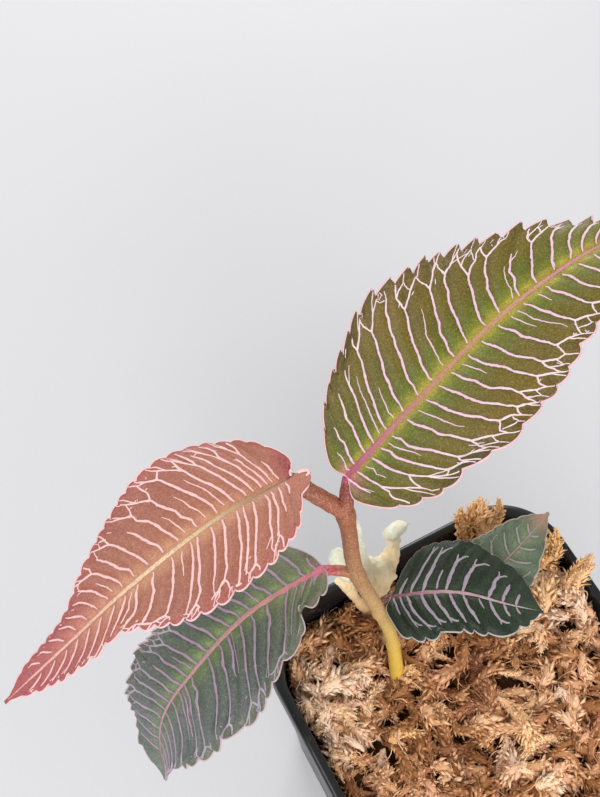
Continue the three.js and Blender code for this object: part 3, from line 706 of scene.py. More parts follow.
def bladeValues(leaf, along, across):  # everything that the shape and the colours of the blade follow
    spec = bladeSpec
    reach = np.abs(across)
    lean = leaf["lean"] * np.minimum(1, along / 0.15) * (1 - along)
    share = np.minimum(along + lean * reach ** 1.4, 1)
    rounding = np.sqrt(1 - (1 - np.minimum(share / spec["rounding"], 1)) ** 2)
    half, out, push, phase, curl, blush, lift, pull = (np.zeros_like(share) for _ in range(8))
    for key, here in (("left", across < 0), ("right", across >= 0)):
        half = np.where(here, smoothAt(leaf[key]["outline"], share), half)
        marks = np.array([-0.06] + [entry[0] for entry in leaf[key]["laterals"]] + [1.04])
        between = np.interp(along - driftAt(leaf, key, along, reach), marks, np.arange(len(marks)))
        phase = np.where(here, between, phase)
        length, width, full = leaf[key]["blush"]
        blush = np.where(here, full * ease(1 - share / length, 0, 1) * np.clip(1.5 - reach / width, 0, 1), blush)
        kind, count, height = leaf[key]["teeth"]
        place = count * share + 0.3 * np.sin(17 * share + leaf["seed"])
        size = height * (1 + 0.3 * np.sin(np.floor(place) * 2.3 + leaf["seed"]))
        toothOut, toothPush = toothShape(kind, place - np.floor(place))
        out, push = np.where(here, toothOut * size, out), np.where(here, toothPush * size, push)
        for side, centre, width, rise, inward in leaf["curls"]:
            weight = np.exp(-((share - centre) / width) ** 2) * ease(reach, spec["curlFrom"], 1.0)
            weight = weight * (here if side == key else 0)
            curl, lift, pull = curl + weight, lift + rise * weight, pull + inward * weight
    half = np.maximum(half * rounding, spec["tipHalf"])
    small, smaller, smallest = (np.minimum(1, half / full) for full in (8, 5, 4))  # where the blade is narrow
    edge = ease(reach, spec["toothFrom"], 1.0) * smallest * ease(share, 0.0, 0.05) * ease(1 - share, 0.0, 0.04)
    crest = np.sin(math.pi * phase) ** 2 * ease(reach, *spec["crestFrom"])
    crest = crest * (1 - 0.8 * ease(reach, spec["crestEnd"], 1.0)) * smaller
    crest = crest * (1 - 0.6 * ease(along, 0.55, 0.85))
    shift = np.where(across < 0, *spec["waveShift"])
    ripple = leaf["wave"] * reach ** 3 * np.sin(math.tau * leaf["waves"] * along + shift)
    height = half * (spec["foldRise"] * reach - spec["foldFall"] * reach * reach) + leaf["quilt"] * crest
    height = height + ripple * small + lift + 0.3 * out * edge
    lobe = np.where(across < 0, leaf["left"]["lobe"], leaf["right"]["lobe"])
    back = lobe * reach ** 1.5 * np.maximum(0, 1 - share / spec["lobeRun"]) * (1 - np.exp(-share / spec["lobeFoot"]))
    if leaf["ear"]:  # a small lobe of the left half lies over the petiole
        flap = np.exp(-(share / spec["earRun"]) ** 4) * np.sin(math.pi * (0.06 + 0.74 * reach)) * (across < 0)
        back, height = back + leaf["ear"] * flap, height + spec["earRise"] * flap
        pull = pull - spec["earTuck"] * flap * reach
    sideways = half * across + np.sign(across) * (out * edge - pull)
    return {"share": share, "half": half, "sideways": sideways, "height": height, "forward": push * edge - back,
            "crest": crest, "curl": curl, "blush": blush, "reach": reach}


def bladePoint(leaf, along, across, layer):  # layer 1 is the upper face and -1 the lower one
    along, across = np.broadcast_arrays(np.asarray(along, float), np.asarray(across, float))
    value = bladeValues(leaf, along, across)
    ahead, side, normal = bladeFrame(leaf, value["share"])
    thick = bladeSpec["thickness"] * (1 - bladeSpec["thinEdge"] * ease(value["reach"], 0.9, 1.0)) / 2
    return (curveAt(leaf["midrib"], value["share"]) + side * value["sideways"][..., None]
            + normal * (value["height"] + layer * thick)[..., None] + ahead * value["forward"][..., None])


def bladeFacing(leaf, along, across, layer):
    step = 0.006
    sideways = (bladePoint(leaf, along, np.clip(across + step, -1, 1), layer)
                - bladePoint(leaf, along, np.clip(across - step, -1, 1), layer))
    onward = (bladePoint(leaf, np.clip(along + step, 0, 1), across, layer)
              - bladePoint(leaf, np.clip(along - step, 0, 1), across, layer))
    return unit(np.cross(sideways, onward)) * layer


def bladeLength(leaf):
    line = curveAt(leaf["midrib"], np.linspace(0, 1, 60))
    return np.linalg.norm(np.diff(line, axis=0), axis=1).sum()


def makeBladeMaterial(leaf):
    looks, spec = leaf["looks"], bladeSpec
    material, tree, shader, place = newMaterial(leaf["name"] + "Skin", specular=spec["gloss"], sheen=0.05,
                                                sheenRoughness=0.4)
    away, along, reach, blush = readValues(tree, "away", "along", "reach", "blush")
    crest, under, curl = readValues(tree, "crest", "under", "curl")
    broad, middle = grain(tree, place, spec["broadGrain"]), grain(tree, place, spec["middleGrain"])
    fine = grain(tree, place, spec["fineGrain"], 2, 0.7)
    bend = put(tree, "ShaderNodeTexNoise", {"Vector": place, "Scale": spec["netBendScale"]}).outputs[1]
    bent = put(tree, "ShaderNodeMix", {0: spec["netBend"], 4: place, 5: bend}, data_type="VECTOR").outputs[1]
    cells = cellDistance(tree, bent, spec["netScale"], "DISTANCE_TO_EDGE")
    net = spread(tree, cells, 0.0, 0.09, 0.3, 0.0)
    dots = spread(tree, cellDistance(tree, place, spec["dotScale"]), 0.1, 0.24, 0.4, 0.0)
    widest = looks["spread"][-1][0]  # the colours follow the distance from the midrib, in millimetres
    jitter = times(tree, swing(tree, middle, 0.18), calc(tree, "DIVIDE", away, widest, True))
    step = plus(tree, calc(tree, "DIVIDE", away, widest), jitter)
    colour = ramp(tree, step, [(mark / widest, shade) for mark, shade in looks["spread"]])
    layers = [("dark", times(tree, spread(tree, broad, 0.45, 0.7), 0.3)),  # patches
              ("tip", spread(tree, along, looks["tipFrom"], 1.0, 0.0, looks["tipShare"])),
              ("base", spread(tree, along, 0.0, 0.3, looks["baseShare"], 0.0)),
              ("margin", spread(tree, reach, 0.76, 1.0, 0.0, 0.55)),
              ("corner", blush),
              ("dark", spread(tree, crest, 0.0, 0.5, 0.34, 0.0)),  # painted shade in the furrows along the lateral veins, wherever the blade is not puffed
              ("line", net),
              ("fleck", times(tree, dots, spread(tree, middle, 0.45, 0.6))),
              ("dark", spread(tree, fine, 0.35, 0.62, 0.42, 0.0)),
              ("fleck", spread(tree, fine, 0.55, 0.75, 0.0, 0.3)),
              # painted shade in the fold where the margin curls
              ("dark", calc(tree, "MULTIPLY", curl, 0.7, True))]
    for key, share in layers:
        colour = layTint(tree, colour, share, looks[key])
    below = mixTint(tree, times(tree, net, 1.6), tint(*looks["under"]), tint(*looks["line"]))
    colour = mixTint(tree, under, colour, below)
    height = plus(tree, times(tree, fine, 0.8), times(tree, spread(tree, cells, 0.0, 0.25), 0.35))
    finishShader(tree, shader, colour, spread(tree, middle, 0.3, 0.7, 0.4, 0.54), height, 0.4, 0.1)
    return material


def makeBlade(leaf):
    spec = bladeSpec
    length = bladeLength(leaf)
    rows = max(120, int(spec["stations"] * length / spec["fullLength"])) + 1
    columns = max(34, int(spec["columns"] * max(leaf["left"]["outline"]) / spec["fullHalf"])) // 2 * 2 + 1
    along = (np.linspace(0.005, 1, rows) ** spec["tight"])[:, None] * np.ones(columns)
    across = np.linspace(-1, 1, columns)[None, :] * np.ones((rows, 1))
    value = bladeValues(leaf, along, across)
    points = np.concatenate([bladePoint(leaf, along, across, layer).reshape(-1, 3) for layer in (1, -1)])
    top = np.arange(rows * columns).reshape(rows, columns)
    low = top + rows * columns

    def quads(a, b, c, d):
        return np.stack([a.ravel(), b.ravel(), c.ravel(), d.ravel()], 1)

    faces = np.vstack([
        quads(top[:-1, :-1], top[:-1, 1:], top[1:, 1:], top[1:, :-1]),
        quads(low[:-1, :-1], low[1:, :-1], low[1:, 1:], low[:-1, 1:]),
        quads(top[:-1, -1], low[:-1, -1], low[1:, -1], top[1:, -1]),
        quads(top[:-1, 0], top[1:, 0], low[1:, 0], low[:-1, 0]),
        quads(top[0, :-1], low[0, :-1], low[0, 1:], top[0, 1:]),
        quads(top[-1, :-1], top[-1, 1:], low[-1, 1:], low[-1, :-1])])
    blade = meshPiece(leaf["name"] + "Blade", points, faces.tolist())
    value.update(along=along, away=value["half"] * value["reach"])
    for name in ("along", "reach", "crest", "curl", "blush", "away"):
        storeValues(blade.data, name, np.tile(value[name].ravel(), 2))
    storeValues(blade.data, "under", np.repeat([0.0, 1.0], rows * columns))
    keepOutward(blade.data)
    setMaterial(blade, makeBladeMaterial(leaf))
    declare(blade, leaf["slot"], leaf["node"])


veinSpec = {"step": 0.38, "height": 0.3, "knotGap": 1.7, "shake": 0.03, "endFade": 0.9, "uneven": 0.13, "lift": 0.025,
            "thinnest": 0.05, "outermost": 0.985, "midribStep": 0.5, "midribSink": 0.05, "ribbonSides": 8,
            "marginHalf": 0.2, "marginStep": 0.27, "marginSides": 7,
            "earRim": (1.1, 1.6), "footRim": (0, 1.4),  # layer and swell of the rim beside the stalk
            "bitRun": (78, 14)}  # millimetres for a whole midrib, and from there to the margin


def traceVein(leaf, side, stops, widths, hue, rng, layer, wander):  # stops: (place on the midrib, reach)
    spec = veinSpec
    sign = -1 if side == "left" else 1
    stops = np.asarray(stops, float)
    half = float(smoothAt(leaf[side]["outline"], np.array(min(max(stops[:, 0].mean(), 0.05), 0.95))))
    scale = np.array([bladeLength(leaf), max(half, 2.0)])
    steps = np.linalg.norm(np.diff(stops, axis=0) * scale, axis=1)
    total = steps.sum()
    marks = np.concatenate([[0], np.cumsum(steps)])
    count = max(4, int(total / spec["step"]) + 1)
    walk = np.linspace(0, total, count)
    flat = np.stack([np.interp(walk, marks, stops[:, 0]), np.interp(walk, marks, stops[:, 1])], 1)
    ahead = unit(np.gradient(flat * scale, axis=0))
    knots = max(3, int(total / spec["knotGap"]) + 2)
    sway = np.interp(walk, np.linspace(0, total, knots), rng.normal(0, wander * leaf["sway"], knots))
    sway = sway + rng.normal(0, spec["shake"], count)
    sway *= np.minimum(1, np.minimum(walk, total - walk) / spec["endFade"])
    flat = flat + np.stack([-ahead[:, 1], ahead[:, 0]], 1) * sway[:, None] / scale
    reach = np.clip(flat[:, 1], 0, spec["outermost"])
    along = np.clip(flat[:, 0] + driftAt(leaf, side, flat[:, 0], reach), 0.0, 0.995)
    girth = np.interp(walk / total, np.linspace(0, 1, len(widths)), widths)
    girth = girth * (1 + rng.normal(0, spec["uneven"], count))
    facing = bladeFacing(leaf, along, sign * reach, layer)
    points = bladePoint(leaf, along, sign * reach, layer) + facing * spec["lift"]
    return {"points": points, "halfWidth": np.maximum(girth, spec["thinnest"]), "facing": facing, "hue": float(hue),
            "along": along, "reach": reach}


def lateralChains(leaf, side, rng):  # laterals that fork near the margin and join their neighbours there in a net
    entries, width, start = leaf[side]["laterals"], leaf["veinHalf"], leaf[side]["veinStart"]
    bases = np.array([entry[0] for entry in entries])
    gaps = np.diff(np.concatenate([[bases[0] - 0.05], bases, [bases[-1] + 0.05]]))
    margin = veinSpec["outermost"]
    chains, knot = [], None

    def halfAt(base):
        return float(smoothAt(leaf[side]["outline"], np.array(base)))

    def vein(size, shares, *stops, hue=0, wander=0.12, layer=1):  # half widths as shares of size
        chains.append(traceVein(leaf, side, stops, [share * size for share in shares], hue, rng, layer, wander))

    for k, (base, reach, *ending) in enumerate(entries):
        kind = ending[0] if ending else "plain"
        behind, ahead = gaps[k], gaps[k + 1]
        end = (base, reach)
        w = width * min(1, 0.55 + halfAt(base) / 24)
        netted = kind in ("fork", "ring", "link")
        last = 0.75 if netted or kind == "tee" else 0.4
        vein(w, [0.55, 1, 1.05, 1, 0.9, last], (base, start / halfAt(base)), end, wander=0.19)
        vein(w, [1.3, 1, 0.6], (base, 0.02), (base, min(0.9, reach + 0.1)), hue=2, layer=-1)
        if netted:
            rim = 0.94 + 0.04 * rng.random()
            rise = rim - reach
            fore = (base + (0.26 + 0.1 * rng.random()) * ahead, reach + (0.32 + 0.14 * rng.random()) * rise)
            aft = (base - (0.26 + 0.1 * rng.random()) * behind, reach + (0.32 + 0.14 * rng.random()) * rise)
            vein(w, [0.85, 0.75, 0.55], end, aft, knot or (base - 0.4 * behind, rim))
            knot = (base + (0.48 + 0.1 * rng.random()) * ahead, reach + (0.66 + 0.16 * rng.random()) * rise)
            vein(w, [0.85, 0.75, 0.55], end, fore, knot)
            vein(w, [0.55, 0.4], knot, (knot[0] + 0.12 * ahead, margin))
            if kind == "ring":
                crown = (base + 0.04 * ahead, reach + 0.86 * rise)
                vein(w, [0.55, 0.5, 0.55], aft, crown, fore)
                vein(w, [0.45, 0.3], crown, (base + 0.08 * ahead, margin))
            else:
                vein(w, [0.6, 0.4], fore, (fore[0] + 0.05 * ahead, margin))
            if kind == "link":
                vein(w, [0.5, 0.4], fore, (base + 0.95 * ahead, fore[1] + 0.06))
        else:
            if knot and reach > 0.7:
                vein(w, [0.42, 0.45], knot, (base, min(reach, knot[1]) - 0.03))
            knot = None
        if kind == "tee":
            vein(w, [0.7, 0.35], end, (base + 0.3 * ahead, reach + 0.1), (base + 0.45 * ahead, reach + 0.1))
            vein(w, [0.65, 0.3], end, (base - 0.12 * behind, reach + 0.14))
        if kind == "plain" and reach > 0.6 and rng.random() < 0.45:
            vein(w, [0.5, 0.3], (base, reach * 0.84), (base + 0.3 * ahead, reach * 0.84 + 0.09))
    for base, reach in leaf[side]["shorts"]:
        first = (start + 0.4) / halfAt(base)
        if reach > first + 0.05:
            vein(width, [0.4, 0.6, 0.5, 0.25], (base, first), (base, reach), wander=0.17)
    for _ in range(leaf["bits"]):  # loose bits of the net
        base, reach = 0.06 + 0.8 * rng.random(), 0.74 + 0.21 * rng.random()
        turn, size = rng.random() * math.tau, 0.4 + 0.8 * rng.random()
        onward, outward = veinSpec["bitRun"]
        stop = (base + size * math.cos(turn) / onward, reach + size * math.sin(turn) / outward)
        vein(width, [0.3, 0.42, 0.3], (base, reach), stop, wander=0.05)
    return chains


def makeVeinMaterial(leaf):  # hue is 0 on the laterals, 1 on the midrib, 2 on the underside and 3 on the margin
    looks = leaf["looks"]
    material, tree, shader, place = newMaterial(leaf["name"] + "Veins", specular=0.4)
    hue, along, reach = readValues(tree, "hue", "along", "reach")
    middle, fine, freckles = grain(tree, place, 700), grain(tree, place, 3000, 2, 0.7), grain(tree, place, 2600, 2)
    side = mixTint(tree, spread(tree, reach, 0.35, 0.85), tint(*looks["vein"]), tint(*looks["net"]))
    side = layTint(tree, side, spread(tree, middle, 0.35, 0.65, 0.0, 0.3), looks["rim"])
    main = ramp(tree, along, looks["midrib"])
    freckle = [int(c * 0.78) for c in looks["midrib"][2][1]]
    main = layTint(tree, main, spread(tree, freckles, 0.46, 0.62, 0.0, 0.5), freckle)
    colour = mixTint(tree, calc(tree, "MULTIPLY", hue, 1.0, True), side, main)
    for past, key in ((1.0, "veinUnder"), (2.0, "rim")):
        colour = layTint(tree, colour, calc(tree, "SUBTRACT", hue, past, True), looks[key])
    height = plus(tree, fine, times(tree, middle, 0.5))
    finishShader(tree, shader, colour, spread(tree, middle, 0.3, 0.7, 0.45, 0.6), height, 0.4, 0.08)
    return material


def makeVeins(leaf):
    stored = ("facing", "hue", "along", "reach")
    rng = np.random.default_rng(leaf["seed"])
    chains = lateralChains(leaf, "left", rng) + lateralChains(leaf, "right", rng)
    spec, length = veinSpec, bladeLength(leaf)
    along = np.linspace(0.0, spec["outermost"], int(length / spec["midribStep"]))
    middle = np.zeros_like(along)
    facing = bladeFacing(leaf, along, middle, 1)
    girth = smoothAt(leaf["midribHalf"], along) * (1 + rng.normal(0, 0.04, len(along)))
    chains.append({"points": bladePoint(leaf, along, middle, 1) - facing * spec["midribSink"], "halfWidth": girth,
                   "facing": facing, "hue": 1.0, "along": along, "reach": 0.0})
    veins = chainPiece(leaf["name"] + "Veins", chains, stored)
    material = makeVeinMaterial(leaf)
    grow(veins, ribbonTree, {"Height Share": spec["height"], "Sides": spec["ribbonSides"], "Material": material})
    declare(veins, leaf["slot"], leaf["node"])
    side = np.linspace(0.005, 1, int(length / spec["marginStep"])) ** bladeSpec["tight"]
    foot = np.linspace(0.12, 0.92, 9)  # the short edge on either side of the stalk
    first = np.full(len(foot), side[0])
    along = np.concatenate([first, side, side[-2::-1], first])
    across = np.concatenate([-foot, -np.ones(len(side)), np.ones(len(side) - 1), foot[::-1]])
    atFoot = np.abs(across) < 1
    layer, swell = spec["earRim"] if leaf["ear"] else spec["footRim"]
    girth = spec["marginHalf"] * np.where(across < 0, leaf["rimShare"], 1) * np.where(atFoot, swell, 1)
    rim = {"points": bladePoint(leaf, along, across, atFoot * layer),
           "halfWidth": girth * (1 - 0.3 * ease(along, 0.9, 1)),
           "facing": bladeFrame(leaf, along)[2], "hue": 3.0, "along": along, "reach": 1.0}
    margin = chainPiece(leaf["name"] + "Margin", [rim], stored)
    growTube(margin, spec["marginSides"], material)
    declare(margin, leaf["slot"], leaf["node"])


skinSpec = {"gloss": 0.45, "speckTint": (226, 182, 142), "speckScale": 3000.0, "middleGrain": 900, "fineGrain": 3300,
            "stemFrom": 0.056, "stemTo": 0.118}  # the heights, in metres, where the stem's colours begin and end


def makeSkinMaterial(name, colours, darker, byHeight):  # colours along the piece, or by its height above the base
    spec = skinSpec
    material, tree, shader, place = newMaterial(name, specular=spec["gloss"])
    middle, fine = grain(tree, place, spec["middleGrain"]), grain(tree, place, spec["fineGrain"], 2)
    if byHeight:
        share = fromTo(tree, heightOf(tree, place), spec["stemFrom"], spec["stemTo"])
    else:
        share = fromTo(tree, readValues(tree, "along")[0], 0.0, 1.0)
    share = plus(tree, share, swing(tree, middle, 0.12))
    specks = cellDistance(tree, place, spec["speckScale"])
    speck = times(tree, spread(tree, specks, 0.25, 0.55, 0.9, 0.0), spread(tree, share, 0.2, 0.8, 0.15, 0.8))
    colour = layTint(tree, ramp(tree, share, colours), speck, darker)
    colour = layTint(tree, colour, spread(tree, fine, 0.5, 0.7, 0.0, 0.45), spec["speckTint"])
    height = plus(tree, times(tree, fine, 0.5), times(tree, specks, 0.7))
    finishShader(tree, shader, colour, spread(tree, middle, 0.3, 0.7, 0.42, 0.58), height, 0.35, 0.1)
    return material


petioleSpec = {"under": [0.0, 0.03, 0.07, 0.12, 0.2, 0.35, 0.5, 0.7, 0.88],  # its run below the blade
               "thinning": [0.98, 0.9, 0.78, 0.66, 0.56, 0.46, 0.38, 0.3, 0.22],
               "bite": 0.12, "step": 0.6, "sides": 18}


def makePetiole(leaf):
    spec = petioleSpec
    under = np.array(spec["under"])
    radii = np.array(spec["thinning"]) * leaf["petioleRadius"][1]
    normal = bladeFrame(leaf, under)[2]
    run = bladePoint(leaf, under, np.zeros(len(under)), 0) - normal * (radii - spec["bite"])[:, None]
    stops = np.vstack([leaf["petiole"], run])
    girths = np.concatenate([leaf["petioleRadius"], radii])
    steps = np.concatenate([[0], np.cumsum(np.linalg.norm(np.diff(stops, axis=0), axis=1))])
    walk = np.linspace(0, steps[-1], int(steps[-1] / spec["step"]))
    place = np.interp(walk, steps, np.linspace(0, 1, len(stops)))
    girth = np.interp(walk, steps, girths) * (1 + 0.03 * np.sin(walk * 2.1) + 0.02 * np.sin(walk * 5.3))
    girth[-1] *= 0.4
    chain = {"points": curveAt(stops, place), "halfWidth": girth, "along": np.clip(walk / steps[2], 0, 1)}
    petiole = chainPiece(leaf["name"] + "Petiole", [chain], ("along",))
    colours = leaf["looks"]["petiole"]
    darker = [int(c * 0.5) for c in colours[0][1]]
    growTube(petiole, spec["sides"], makeSkinMaterial(leaf["name"] + "Stalk", colours, darker, False))
    declare(petiole, leaf["slot"], leaf["node"])


for entry in leaves:
    leaf = {**leafDefaults, **entry}
    makeBlade(leaf)
    makeVeins(leaf)
    makePetiole(leaf)
    print(leaf["name"], "built")


# Stem

stemSpec = {"path": [[-12, 8.5, 38], [-11.9, 11.2, 52], [-11.5, 14, 63], [-11.1, 19.4, 75], [-12.8, 23.6, 84.5],
                     [-16, 28.9, 98], [-16.3, 32.9, 111], [-16.6, 34.8, 118]],
            "radii": [1.1, 1.4, 1.6, 1.45, 1.5, 1.6, 1.6, 1.85],
            # the collars where leaves stand: height, swell and width
            "collars": [(72.6, 0.16, 0.9), (83.4, 0.3, 1.1), (97, 0.2, 1.1), (115.4, 0.22, 1.3)],
            "stations": 170, "sides": 28, "endRound": 0.018, "speck": (120, 64, 42),
            "colours": [(0.0, (206, 172, 56)), (0.24, (214, 176, 68)), (0.36, (204, 174, 98)), (0.5, (188, 156, 106)),
                        (0.66, (166, 128, 88)), (0.84, (152, 102, 70)), (1.0, (146, 84, 58))]}


def makeStem(spec):
    share = np.linspace(0, 1, spec["stations"])
    points = curveAt(spec["path"], share)
    girth = smoothAt(spec["radii"], share)
    for height, swell, width in spec["collars"]:
        girth = girth + swell * np.exp(-((points[:, 2] - height) / width) ** 2)
    girth = girth * (1 + 0.012 * np.sin(points[:, 2] * 1.9) + 0.01 * np.sin(points[:, 2] * 4.7 + 1))
    girth = girth * np.sqrt(np.clip((1.0 - share) / spec["endRound"] + 0.12, 0, 1))
    stem = chainPiece("stemStalk", [{"points": points, "halfWidth": girth}])
    growTube(stem, spec["sides"], makeSkinMaterial("stemSkin", spec["colours"], spec["speck"], True))
    declare(stem, "stem_skin", "stem")


makeStem(stemSpec)
print("stem built")


# Moss: a lumpy filling coloured dark as painted shade beneath the strands, scaly strands laid over it in layers, and
# thin fibres

mossSpec = {"low": 58, "high": 65.5, "lump": 1.5, "wallGap": 0.3, "coreSink": 2.2, "coreRings": 46, "coreGap": 0.35,
            "coreTone": 0.12, "leafletSpacing": 0.17, "leafletSize": 0.92, "girthShare": 0.78, "strandSides": 6,
            "strandStep": 0.8, "wallReach": 2.5, "edgeBand": 4, "thinnest": 0.16, "onMoss": 1.4, "clumpSeed": 21,
            # the scales on a strand: width, length and flare
            "scales": [(0.34, 1.3, 0.3), (0.42, 1.05, 0.6), (0.26, 1.6, 0.5), (0.36, 1.1, 1.1)],
            # where the moss is paler or darker, and where it stands higher: x, y, size and lift
            "patches": [(-30, 18, 9, 0.85), (-29, 4, 7, 0.4), (5, -9, 6, 0.35), (29, 8, 10, 0.45), (29, 19, 8, 0.4),
                        (17, -8, 5, 0.3), (1, -18, 6, 0.32), (2, 5, 8, -0.3), (14, 22, 7, -0.15), (-18, -8, 9, 0.05),
                        (-12, -28, 9, 0.2), (22, -27, 8, 0.15), (-6, -20, 7, -0.2), (30, -14, 7, -0.15)],
            "heaps": [(31, 13, 9, 3.4), (29, -5, 8, 1.6), (-30, 19, 7, 2.6), (24, 31, 7, 2.4), (2, -22, 8, 1.2)],
            "beds": [
                {"name": "mossUnder", "seed": 5, "count": 256, "length": (8, 16), "girth": (0.85, 1.5),
                 "layer": (-1.6, 0.4), "tone": (0.0, 0.42), "edge": 0.15},
                {"name": "mossOver", "seed": 9, "count": 240, "length": (5, 16), "girth": (0.8, 1.7),
                 "layer": (0.0, 2.2), "tone": (0.02, 0.7), "edge": 0.2},
                {"name": "mossTufts", "seed": 14, "count": 169, "length": (5, 10), "girth": (1.3, 2.1),
                 "layer": (-1.8, 1.3), "tone": (0.15, 0.76), "edge": 0.2}],
            "fibres": {"name": "mossFibres", "seed": 3, "count": 260, "length": (4, 11), "girth": (0.05, 0.13),
                       "layer": (0.2, 2.4), "tone": (0.1, 0.95), "edge": 0.1, "shade": 0.8, "sides": 4},
            "tones": [(0.0, (140, 92, 58)), (0.2, (196, 140, 93)), (0.42, (234, 180, 132)), (0.62, (250, 203, 158)),
                      (0.8, (255, 213, 174)), (1.0, (255, 224, 196))],
            # the moss core's colours, kept dark as painted shade between the strands
            "coreShadeTones": [(0.0, (84, 52, 30)), (1.0, (112, 70, 40))],
            "clumpTones": [(0.0, (190, 130, 86)), (0.5, (255, 208, 146)), (0.75, (255, 214, 166)),
                           (1.0, (255, 227, 199))],
            "dark": (128, 76, 40), "coreShadeDark": (58, 36, 20), "clumpDark": (170, 112, 68),
            "pinkish": (228, 168, 134), "sheenTint": (255, 214, 170),
            # clumps that stand or lie on top: path, half widths and tone; a flat path lies on the moss
            "raised": [
                ([[14, 30, 60], [16.2, 31.8, 68], [16.8, 33.6, 74], [16.4, 35.8, 77.5]], [2.2, 2.4, 2.6, 1.7], 0.5),
                ([[17, 30.5, 61], [19.4, 32, 69], [21.2, 33.6, 74.5], [21.8, 35.6, 77.5]], [2.2, 2.6, 2.9, 2], 0.62),
                ([[20, 29.5, 61], [22, 31.3, 67], [24.8, 32.7, 72.5], [27.4, 34.2, 76.5]],
                 [2.4, 2.4, 2.2, 1.3], 0.56),
                ([[8, 31, 57], [6.6, 32.6, 60.5], [6, 33.6, 63.5]], [2, 1.8, 1], 0.5),
                ([[26, 10, 62], [30.9, 11.1, 68], [33.7, 12.1, 73], [37.4, 12.4, 76]], [2.4, 2.4, 2, 1], 0.7),
                ([[28, 17, 62], [31.2, 19.1, 68], [32.9, 20.7, 73], [34.4, 22.4, 76]], [2.2, 2, 1.7, 0.9], 0.6)],
            "curls": [
                ([[4.8, -1.2], [6.4, -4.7], [6.1, -10], [4.4, -14.3]], [0.8, 1.6, 2.6, 1.8], 0.7),
                ([[-22, 8.5], [-19.2, 12.5], [-16.2, 14], [-14.6, 13.1]], [1.2, 1.6, 1.5, 1], 0.75),
                ([[-14.4, 10.1], [-12.5, 12.5], [-10.1, 12.4], [-8, 10.4]], [1.2, 1.3, 1.3, 0.9], 0.6),
                ([[0.8, 11.3], [-1.4, 14.4], [-0.3, 16.3], [2.2, 16.3]], [1.2, 1.4, 1.4, 1], 0.75),
                ([[-34, 0.6], [-33.4, 3.8], [-30.6, 4.5], [-27.7, 2.2], [-28.6, -0.4]],
                 [1.1, 1.3, 1.3, 1.2, 0.8], 0.6),
                ([[12, 6.3], [14.7, 8.7], [18.7, 9.1], [21.2, 7.1], [20.5, 3]], [2.2, 2.2, 2.4, 2.6, 1.8], 0.75),
                ([[9.1, 3.4], [14, 0.4]], [0.9, 0.8], 0.85),
                ([[16.3, -6.7], [17.9, -6.3], [18.9, -8.5]], [1.2, 1.5, 1], 1),
                ([[24, 9], [27.6, 13.3], [31.3, 15.6]], [2.2, 2.4, 1.6], 0.75),
                ([[-31, 22.1], [-28.1, 23.6], [-25.9, 21.2]], [2.2, 2.8, 2.2], 1),
                ([[-28.5, 18.3], [-23.8, 19.2], [-21.7, 17.3]], [2.4, 3, 2.4], 1),
                ([[-20.9, 18.8], [-18.4, 17.7], [-18, 15.6]], [1.8, 2, 1.4], 0.95),
                ([[-33.5, 19.5], [-33.1, 16.5], [-30.3, 15.1]], [2, 2.2, 1.6], 0.9),
                ([[-29, 14.5], [-26, 12.2], [-26.2, 8.8]], [1.8, 2.2, 1.6], 0.8),
                ([[-0.2, -14.4], [2.2, -15.9], [3.9, -18.8]], [1.4, 1.4, 1.2], 0.95),
                ([[2.9, -14.9], [8.3, -14], [12.1, -16]], [1.3, 1.4, 1.1], 0.85),
                ([[1.5, -20.4], [4.8, -21.4], [6.8, -23.8]], [2, 2.2, 1.6], 0.95),
                ([[-20.6, 1.7], [-16.5, 2.5], [-13, 0.1]], [1.6, 1.8, 1.4], 0.55),
                ([[-10.7, 4.8], [-7.2, 3], [-5.6, 0.4]], [1.3, 1.4, 1.1], 0.7)]}


def bumpsAt(bumps, x, y):  # the sum of round bumps
    return sum(lift * np.exp(-((x - bx) ** 2 + (y - by) ** 2) / size ** 2) for bx, by, size, lift in bumps)


def mossHeight(x, y):
    spec = mossSpec
    rise = (x - y) / (4 * potSpec["wallTopHalf"]) + 0.5
    lumps = np.sin(0.31 * x + 1.3) * np.cos(0.27 * y + 0.4) + 0.6 * np.sin(0.53 * x - 0.47 * y)
    return spec["low"] + (spec["high"] - spec["low"]) * rise + spec["lump"] * lumps + bumpsAt(spec["heaps"], x, y)


def keepInPot(points, margin):  # pulls points in from the pot's inner wall, where they are below its rim
    half = potHalf(points[:, 2]) - potSpec["wall"] - margin
    corner = potCorner(points[:, 2]) - margin
    for _ in range(3):
        offset = np.abs(points[:, :2]) - (half - corner)[:, None]
        outside = np.linalg.norm(np.maximum(offset, 0), axis=1) + np.minimum(offset.max(axis=1), 0) - corner
        pull = np.maximum(outside, 0) * (points[:, 2] < potSpec["height"] + 0.3)
        inCorner = offset.min(axis=1, keepdims=True) > 0
        towards = np.where(inCorner, np.maximum(offset, 0), offset >= offset.max(axis=1, keepdims=True))
        towards = towards / np.maximum(np.linalg.norm(towards, axis=1, keepdims=True), 1e-6)
        points[:, :2] -= np.sign(points[:, :2]) * towards * pull[:, None]
    return points


